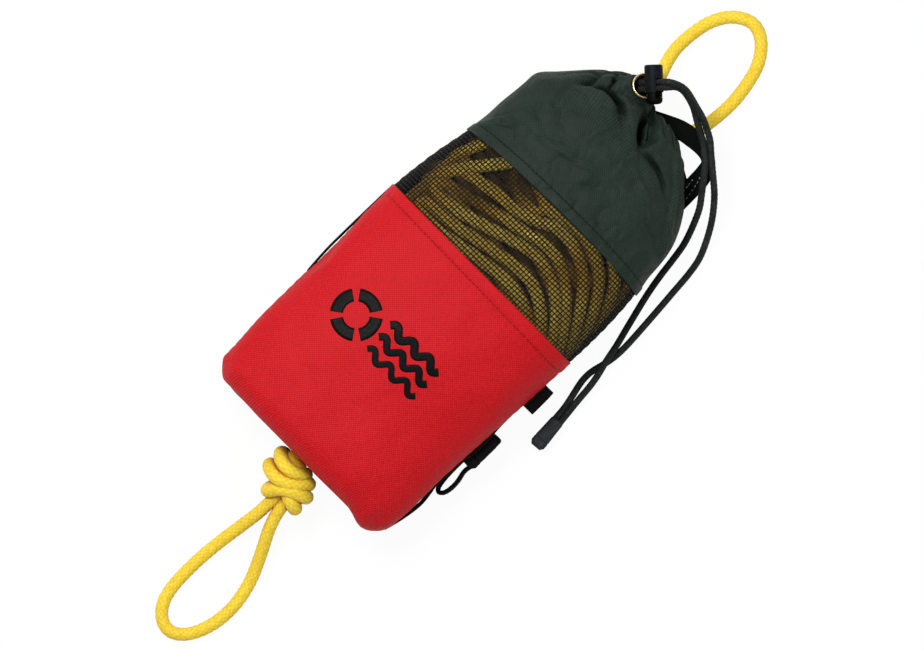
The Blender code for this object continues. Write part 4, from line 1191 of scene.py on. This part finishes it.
def pictogram(surface, material):
    """A generic mark: a lifebuoy ring beside three rows of waves, printed on the red panel."""
    ring_x, ring_y, ring_r, sweep = -79.0, 40.5, 14.0, math.radians(72)
    wave_start, wave_length = 18.5, 47.0
    grids = []
    for start in np.radians((54, 144, 234, 324)):

        def arc(v):
            return ring_x + ring_r * np.cos(start + sweep * v), ring_y + ring_r * np.sin(start + sweep * v)

        grids.append(printed_line(arc, 4.6, 28))
    for x, half_width in ((-67.5, 3.0), (-79.0, 2.65), (-90.5, 2.3)):

        def wave(v):
            return x + 3.0 * np.sin(v * 3 * TURN), wave_start - wave_length * v

        grids.append(printed_line(wave, half_width, 90))
    points, faces, lay = [], [], []
    for grid in grids:
        rows, columns = grid.shape[:2]
        count, start = rows * columns, sum(len(p) for p in points)
        place, normal = surface.under(grid.reshape(-1, 2))
        points += [place + normal * 0.09, place - normal * 0.25]
        lay += [np.hstack([grid.reshape(-1, 2), np.ones((count, 1))])] * 2
        top = grid_faces(rows, columns)
        faces += (top + start).tolist() + (top[:, ::-1] + start + count).tolist()
        number = np.arange(start, start + count).reshape(rows, columns)
        border = [*number[0], *number[1:, -1], *number[-1, -2::-1], *number[-2:0:-1, 0]]
        faces += [[b, a, count + a, count + b] for a, b in zip(border, border[1:] + border[:1])]
    made = solid("generic_mark", np.concatenate(points), faces, material, np.concatenate(lay))
    belong(made, "red_cloth", "bag")


# ---------------------------------------------------------------- fittings

LOCK_MOUTH = LOCK_CENTRE - LOCK_AXIS * 5.0
LOCK_ACROSS = unit(np.cross(CORD_WAY, LOCK_AXIS))
BARREL = ((17.6, 0.0), (17.6, 4.4), (7.6, 4.6), (7.6, 5.95), (0.2, 5.95), (0.0, 6.1), (0.0, 6.5), (19.5, 6.5),
          (19.5, 0.0))
BUTTON_SHAPE = ((11.5, 0.0), (11.5, 3.6), (11.0, 4.15), (1.2, 4.15), (0.9, 5.2), (0.6, 5.6), (-3.0, 5.7),
                (-3.15, 5.35), (-3.65, 5.35), (-3.8, 5.7), (-5.6, 5.7), (-6.9, 5.3), (-7.8, 4.3),
                (-8.3, 2.6), (-8.4, 0.0))
SOCKET_WALL = ((-92.3, -94.0), (-77, -94.4), (-73.6, -92.2), (-71.2, -86.6), (-71.2, -86.2), (-92.3, -86.2))
PLUG_WALL = ((-100.6, -91.6), (-98.3, -93.4), (-92.5, -94.0), (-92.5, -85.0), (-100.0, -85.0))
# The mouth's grommet: along its axis and radius, over its rim and down its throat.
MOUTH_RIM = ((0.2, 9.3), (0.9, 9.25), (1.5, 8.9), (1.75, 8.4), (1.5, 7.9), (0.85, 7.6))
MOUTH_THROAT = ((-0.2, 7.2), (-1.6, 6.5), (-3.0, 6.1), (-3.0, 6.9), (-1.2, 7.6), (0.0, 8.6))
# The cord end's two halves: along, half width, half height.
CORD_END_START, CORD_END_WAY = np.array((-34.4, -112.0, 5.9)), unit(np.array((-1, -0.07, 0)))
CORD_END = ((-1.6, 4.2, 3.8), (-0.6, 4.9, 4.5), (7.5, 5.2, 5.0), (15.9, 5.6, 5.5), (16.1, 5.0, 4.9),
            (18.4, 4.9, 4.8))
CORD_CAP = ((16.2, 5.4, 5.3), (16.5, 5.7, 5.6), (20.4, 5.6, 5.5), (23.0, 3.7, 3.6))


def carve(made, centre, length):
    """Cuts the cords' slot, of this length along the lock, through a part of it."""
    bpy.ops.mesh.primitive_cube_add(size=1)
    box = bpy.context.object
    box.data.transform(Matrix.Diagonal((length * MM, 5.2 * MM, 22 * MM, 1)))
    turn = Matrix((LOCK_AXIS, LOCK_ACROSS, CORD_WAY)).transposed().to_4x4()
    box.data.transform(Matrix.Translation(Vector(centre) * MM) @ turn)
    cutter = made.modifiers.new("slot", "BOOLEAN")
    cutter.operation = "DIFFERENCE"
    cutter.solver = "EXACT"
    cutter.object = box
    carved = bpy.data.meshes.new_from_object(made.evaluated_get(bpy.context.evaluated_depsgraph_get()))
    made.modifiers.clear()
    made.data = carved
    bpy.data.objects.remove(box)
    carved.set_sharp_from_angle(angle=math.radians(40))
    return made


def cord_lock(plastic, button_plastic):
    """The cord lock: a cup-shaped barrel and the button that slides in it, both slotted for the cords."""
    barrel = turned("cord_lock_barrel", rounded(BARREL, 1.7, 5), LOCK_MOUTH, LOCK_AXIS, plastic)
    belong(carve(barrel, LOCK_CENTRE, 9.8), "lock_plastic", "cord_lock", "lock_barrel")
    button = turned("cord_lock_button", BUTTON_SHAPE, LOCK_MOUTH, LOCK_AXIS, button_plastic)
    carve(button, LOCK_CENTRE - LOCK_AXIS * 1.55, 12.9)
    belong(button, "lock_plastic", "lock_button", "lock_plunger")


def lock_coil(material):
    """The cord lock's spring, coiled along the axis of the button's press."""
    press = next(joint for joint in frame["record"]["behaviour"]["joints"] if joint["name"] == "lock_press")
    way = np.array(press["axis"])
    low, high = corners("lock_spring")
    centre = (low + high) / 2
    outer = (high[2] - low[2]) / 2
    length = (high[0] - low[0] - 2 * outer * abs(way[1])) / abs(way[0])
    wire, coils = 0.32, 7
    share = np.linspace(0, 1, 24 * coils + 1)
    path = centre + np.outer((share - 0.5) * (length - 2 * wire), way)
    side, up = np.array((-way[1], way[0], 0)), np.array((0, 0, 1))
    turn = TURN * coils * share
    path += (outer - wire) * (np.outer(np.cos(turn), side) + np.outer(np.sin(turn), up))
    coil = braided("lock_coil", path, wire, material, (1, 1.0), 0.0, 10, 0.3)
    belong(coil, "spring_steel", "cord_lock", "lock_spring")
    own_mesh(coil)


def buckle_walls(material):
    """The buckle's closed edge walls, above the slots of its two halves."""
    top = corners("buckle_socket")[1][2]
    for name, outline, body in (
        ("buckle_socket_wall", SOCKET_WALL, "buckle_socket"), ("buckle_plug_wall", PLUG_WALL, "bag"),
    ):
        points = [(x, y, z) for z in (top + 0.02, top + 1.4) for x, y in outline]
        wall = solid(name, points, tube_faces(2, len(outline)), material, sharp=25)
        soften_edges(wall, 0.4)
        belong(wall, "buckle_plastic", body)


def mouth_ring(material):
    """The mouth's grommet: a narrow bright rim round a dark throat."""
    c, s = math.cos(MOUTH_TILT), math.sin(MOUTH_TILT)
    rings, sides = MOUTH_RIM + MOUTH_THROAT, 96
    heights, radii = np.transpose(rings)
    path = MOUTH_GROMMET + np.outer(heights, (s, 0, c))
    points = tube(path, np.array((c, 0, -s)), np.array((0.0, 1.0, 0.0)), radii[:, None], turns(sides))
    faces = grid_faces(len(rings) + 1, sides, True) % (len(rings) * sides)
    # The rim is marked bright and the throat is not, and the brass paints the throat in shade.
    bright = np.repeat((heights > 0.8) | (radii > 9), sides)
    made = solid("mouth_ring", points, faces, material, np.stack([bright] * 3, 1))
    belong(made, "brass", "bag", "mouth_grommet")


def cord_end(material):
    """The cord end: a tapering four-sided block and its pull-off cap, with chamfered edges."""
    along, aside = CORD_END_WAY, np.array((CORD_END_WAY[1], -CORD_END_WAY[0], 0))
    for name, rings, body, node in (
        ("cord_end_body", CORD_END, "drawcord_tail", "cord_end"),
        ("cord_end_stopper", CORD_CAP, "cord_cap", "cord_end_cap"),
    ):
        points = []
        for run, wide, tall in rings:
            c = min(wide, tall) * 0.3
            quarter = ((wide, tall - c), (wide - c, tall))
            half = (*quarter, *((-a, b) for a, b in reversed(quarter)))
            for a, b in (*half, *((-a, -b) for a, b in half)):
                points.append(CORD_END_START + along * run + aside * a + np.array((0, 0, b)))
        made = solid(name, points, tube_faces(len(rings), 8), material, sharp=25)
        soften_edges(made, 0.35)
        belong(made, "cord_end_plastic", body, node)


def soften_edges(shown, width):
    """Rounds a piece's edges for the eye, its own mesh left as it is."""
    bevel = shown.modifiers.new("soft_edges", "BEVEL")
    bevel.width = width * MM
    bevel.segments = 3
    bevel.limit_method = "ANGLE"
    bevel.angle_limit = math.radians(35)


def dress(node, material):
    """Gives a carried-over CAD node its material."""
    shown = frame["nodes"][node]
    shown.data.materials.clear()
    shown.data.materials.append(material)
    shown.data.polygons.foreach_set("use_smooth", [True] * len(shown.data.polygons))
    shown.data.set_sharp_from_angle(angle=math.radians(32))
    return shown


# ---------------------------------------------------------------- studio


def placed(name, data, at):
    """A light or camera of the scene, in metres."""
    holder = bpy.data.objects.new(name, data)
    bpy.context.scene.collection.objects.link(holder)
    holder.location = at
    return holder


def area_light(name, at, size, power):
    """A square soft light that aims at the bag."""
    lamp = bpy.data.lights.new(name, "AREA")
    lamp.shape = "SQUARE"
    lamp.size = size
    lamp.energy = power
    holder = placed(name, lamp, at)
    holder.rotation_euler = (-Vector(at)).to_track_quat("-Z", "Y").to_euler()
    holder.visible_camera = False


def studio(floor_material):
    """Pale floor, pale surroundings, one soft key from the bag's left side and a wide fill."""
    bpy.ops.mesh.primitive_plane_add(size=40)
    floor = bpy.context.object
    floor.name = "studio_floor"
    floor.data.materials.append(floor_material)
    world = bpy.data.worlds.new("studio")
    bpy.context.scene.world = world
    world.use_nodes = True
    background = world.node_tree.nodes["Background"]
    background.inputs["Color"].default_value = (1, 1, 1, 1)
    background.inputs["Strength"].default_value = 0.34
    area_light("key", (0.15, 0.95, 2.1), 0.8, 44)
    area_light("fill", (0.5, -1.4, 1.9), 1.8, 8)
    settings = bpy.context.scene.view_settings
    settings.view_transform = "Standard"
    settings.look = "None"
    settings.exposure = 0.0


def camera():
    """Looks straight down, with the bag turned in the frame."""
    lens, sensor = 600.0, 36.0
    width = 0.6468  # metres from side to side of the frame, at the bag's middle height
    middle_height = 0.035
    data = bpy.data.cameras.new("camera")
    data.lens = lens
    data.sensor_width = sensor
    data.clip_end = 100
    holder = placed("camera", data, (-0.0324, -0.0170, middle_height + width * lens / sensor))
    holder.rotation_euler = (0, 0, math.radians(-45.5))
    bpy.context.scene.camera = holder


# ---------------------------------------------------------------- build

RED = nylon("red_nylon", (198, 9, 21), (205, 17, 28), sheen=0.0, glint=0.025)
GREEN = nylon("green_nylon", (29, 42, 35), (42, 56, 47), 0.02, 0.03, crumple=1.8, glint=0.005)
BLACK = nylon("black_nylon", (17, 18, 19), (28, 29, 31), painted_shade=0.1)
NET = plaited_rope("net_thread", (22, 21, 18), (4, 4, 4), (34, 33, 29), fibre=0.3, sheen=0.03)
# The rope's hollows, as in its knot, take an orange-brown painted shade.
ROPE = plaited_rope(
    "yellow_rope", (247, 222, 70), (232, 190, 42), (236, 188, 42),
    painted_shade=(180, 96, 2), shaded=(0.3, 0.92),
)
# The rope under the netting: a copy of the yellow rope with paler crowns, much darker grooves and near-black
# hollows and dim strands, all painted light and shade.
SHADED_STOWED_ROPE = plaited_rope(
    "shaded_stowed_yellow_rope", (255, 228, 102), (170, 126, 28), (214, 172, 54),
    painted_shade=(46, 28, 3), shaded=(0.1, 0.42),
)
CORD = plaited_rope("black_cord", (30, 33, 32), (2, 2, 2), (50, 54, 52), fibre=0.4, sheen=0.02)
WEBBING = webbing_cloth("black_webbing_weave", (2, 4, 3), (12, 15, 14))
RED_THREAD = thread("dark_red_thread", (120, 10, 16), (160, 22, 28))
GREEN_THREAD = thread("dark_green_thread", (9, 13, 11), (24, 30, 27))
GREY_THREAD = thread("grey_thread", (120, 124, 124), (170, 172, 170))
BRASS = worn_brass("worn_brass", (232, 208, 150), (140, 96, 44))
BRIGHT_BRASS = worn_brass("bright_brass", (250, 232, 178), (214, 172, 92), painted_shade_below=0.5)
LOCK = moulded("lock_plastic_grain", (15, 19, 21), (28, 32, 35), 0.45)
BUTTON = moulded("button_plastic_grain", (1, 2, 2), (5, 7, 7))
END = moulded("cord_end_plastic_grain", (36, 40, 41), (60, 65, 67))
BUCKLE = moulded("buckle_plastic_grain", (4, 5, 5), (10, 11, 12))

red_top = Surface(front_cloth(RED))
back_cloth(BLACK)
base_cloth(BLACK)
collar_top = Surface(collar_cloth(GREEN))
netting(NET)
stowed_ropes(SHADED_STOWED_ROPE)
handle_rope(ROPE)
throw_rope(ROPE)
drawcords(CORD)
carry_loop(WEBBING, GREY_THREAD)
buckle_webbing(WEBBING)
side_tab(WEBBING)
bindings(WEBBING)
socket_strap(WEBBING)

hem_y = np.linspace(84, -86, 200)
sew("hem_stitches", red_top, zip(hem_stitch_x(hem_y), hem_y), RED_THREAD, "red_cloth")
angles = np.linspace(8, 172, 220)
edge_x = collar_edge(angles) + COLLAR_STITCH
sew("collar_stitches", collar_top, zip(edge_x, skin(edge_x, angles)[:, 1]), GREEN_THREAD, "green_cloth")
pictogram(red_top, screen_ink())
cord_lock(LOCK, BUTTON)
mouth_ring(BRIGHT_BRASS)
cord_end(END)
buckle_walls(BUCKLE)

for node in ("base_grommet", "base_washer", "mouth_washer"):
    soften_edges(dress(node, BRASS), 0.25)
lock_coil(spring_steel())
for node in ("buckle_socket", "buckle_plug"):
    soften_edges(dress(node, BUCKLE), 0.4)
dress("foam_float", closed_foam())
dress("drawcord_hem", CORD)

studio(studio_floor())
camera()
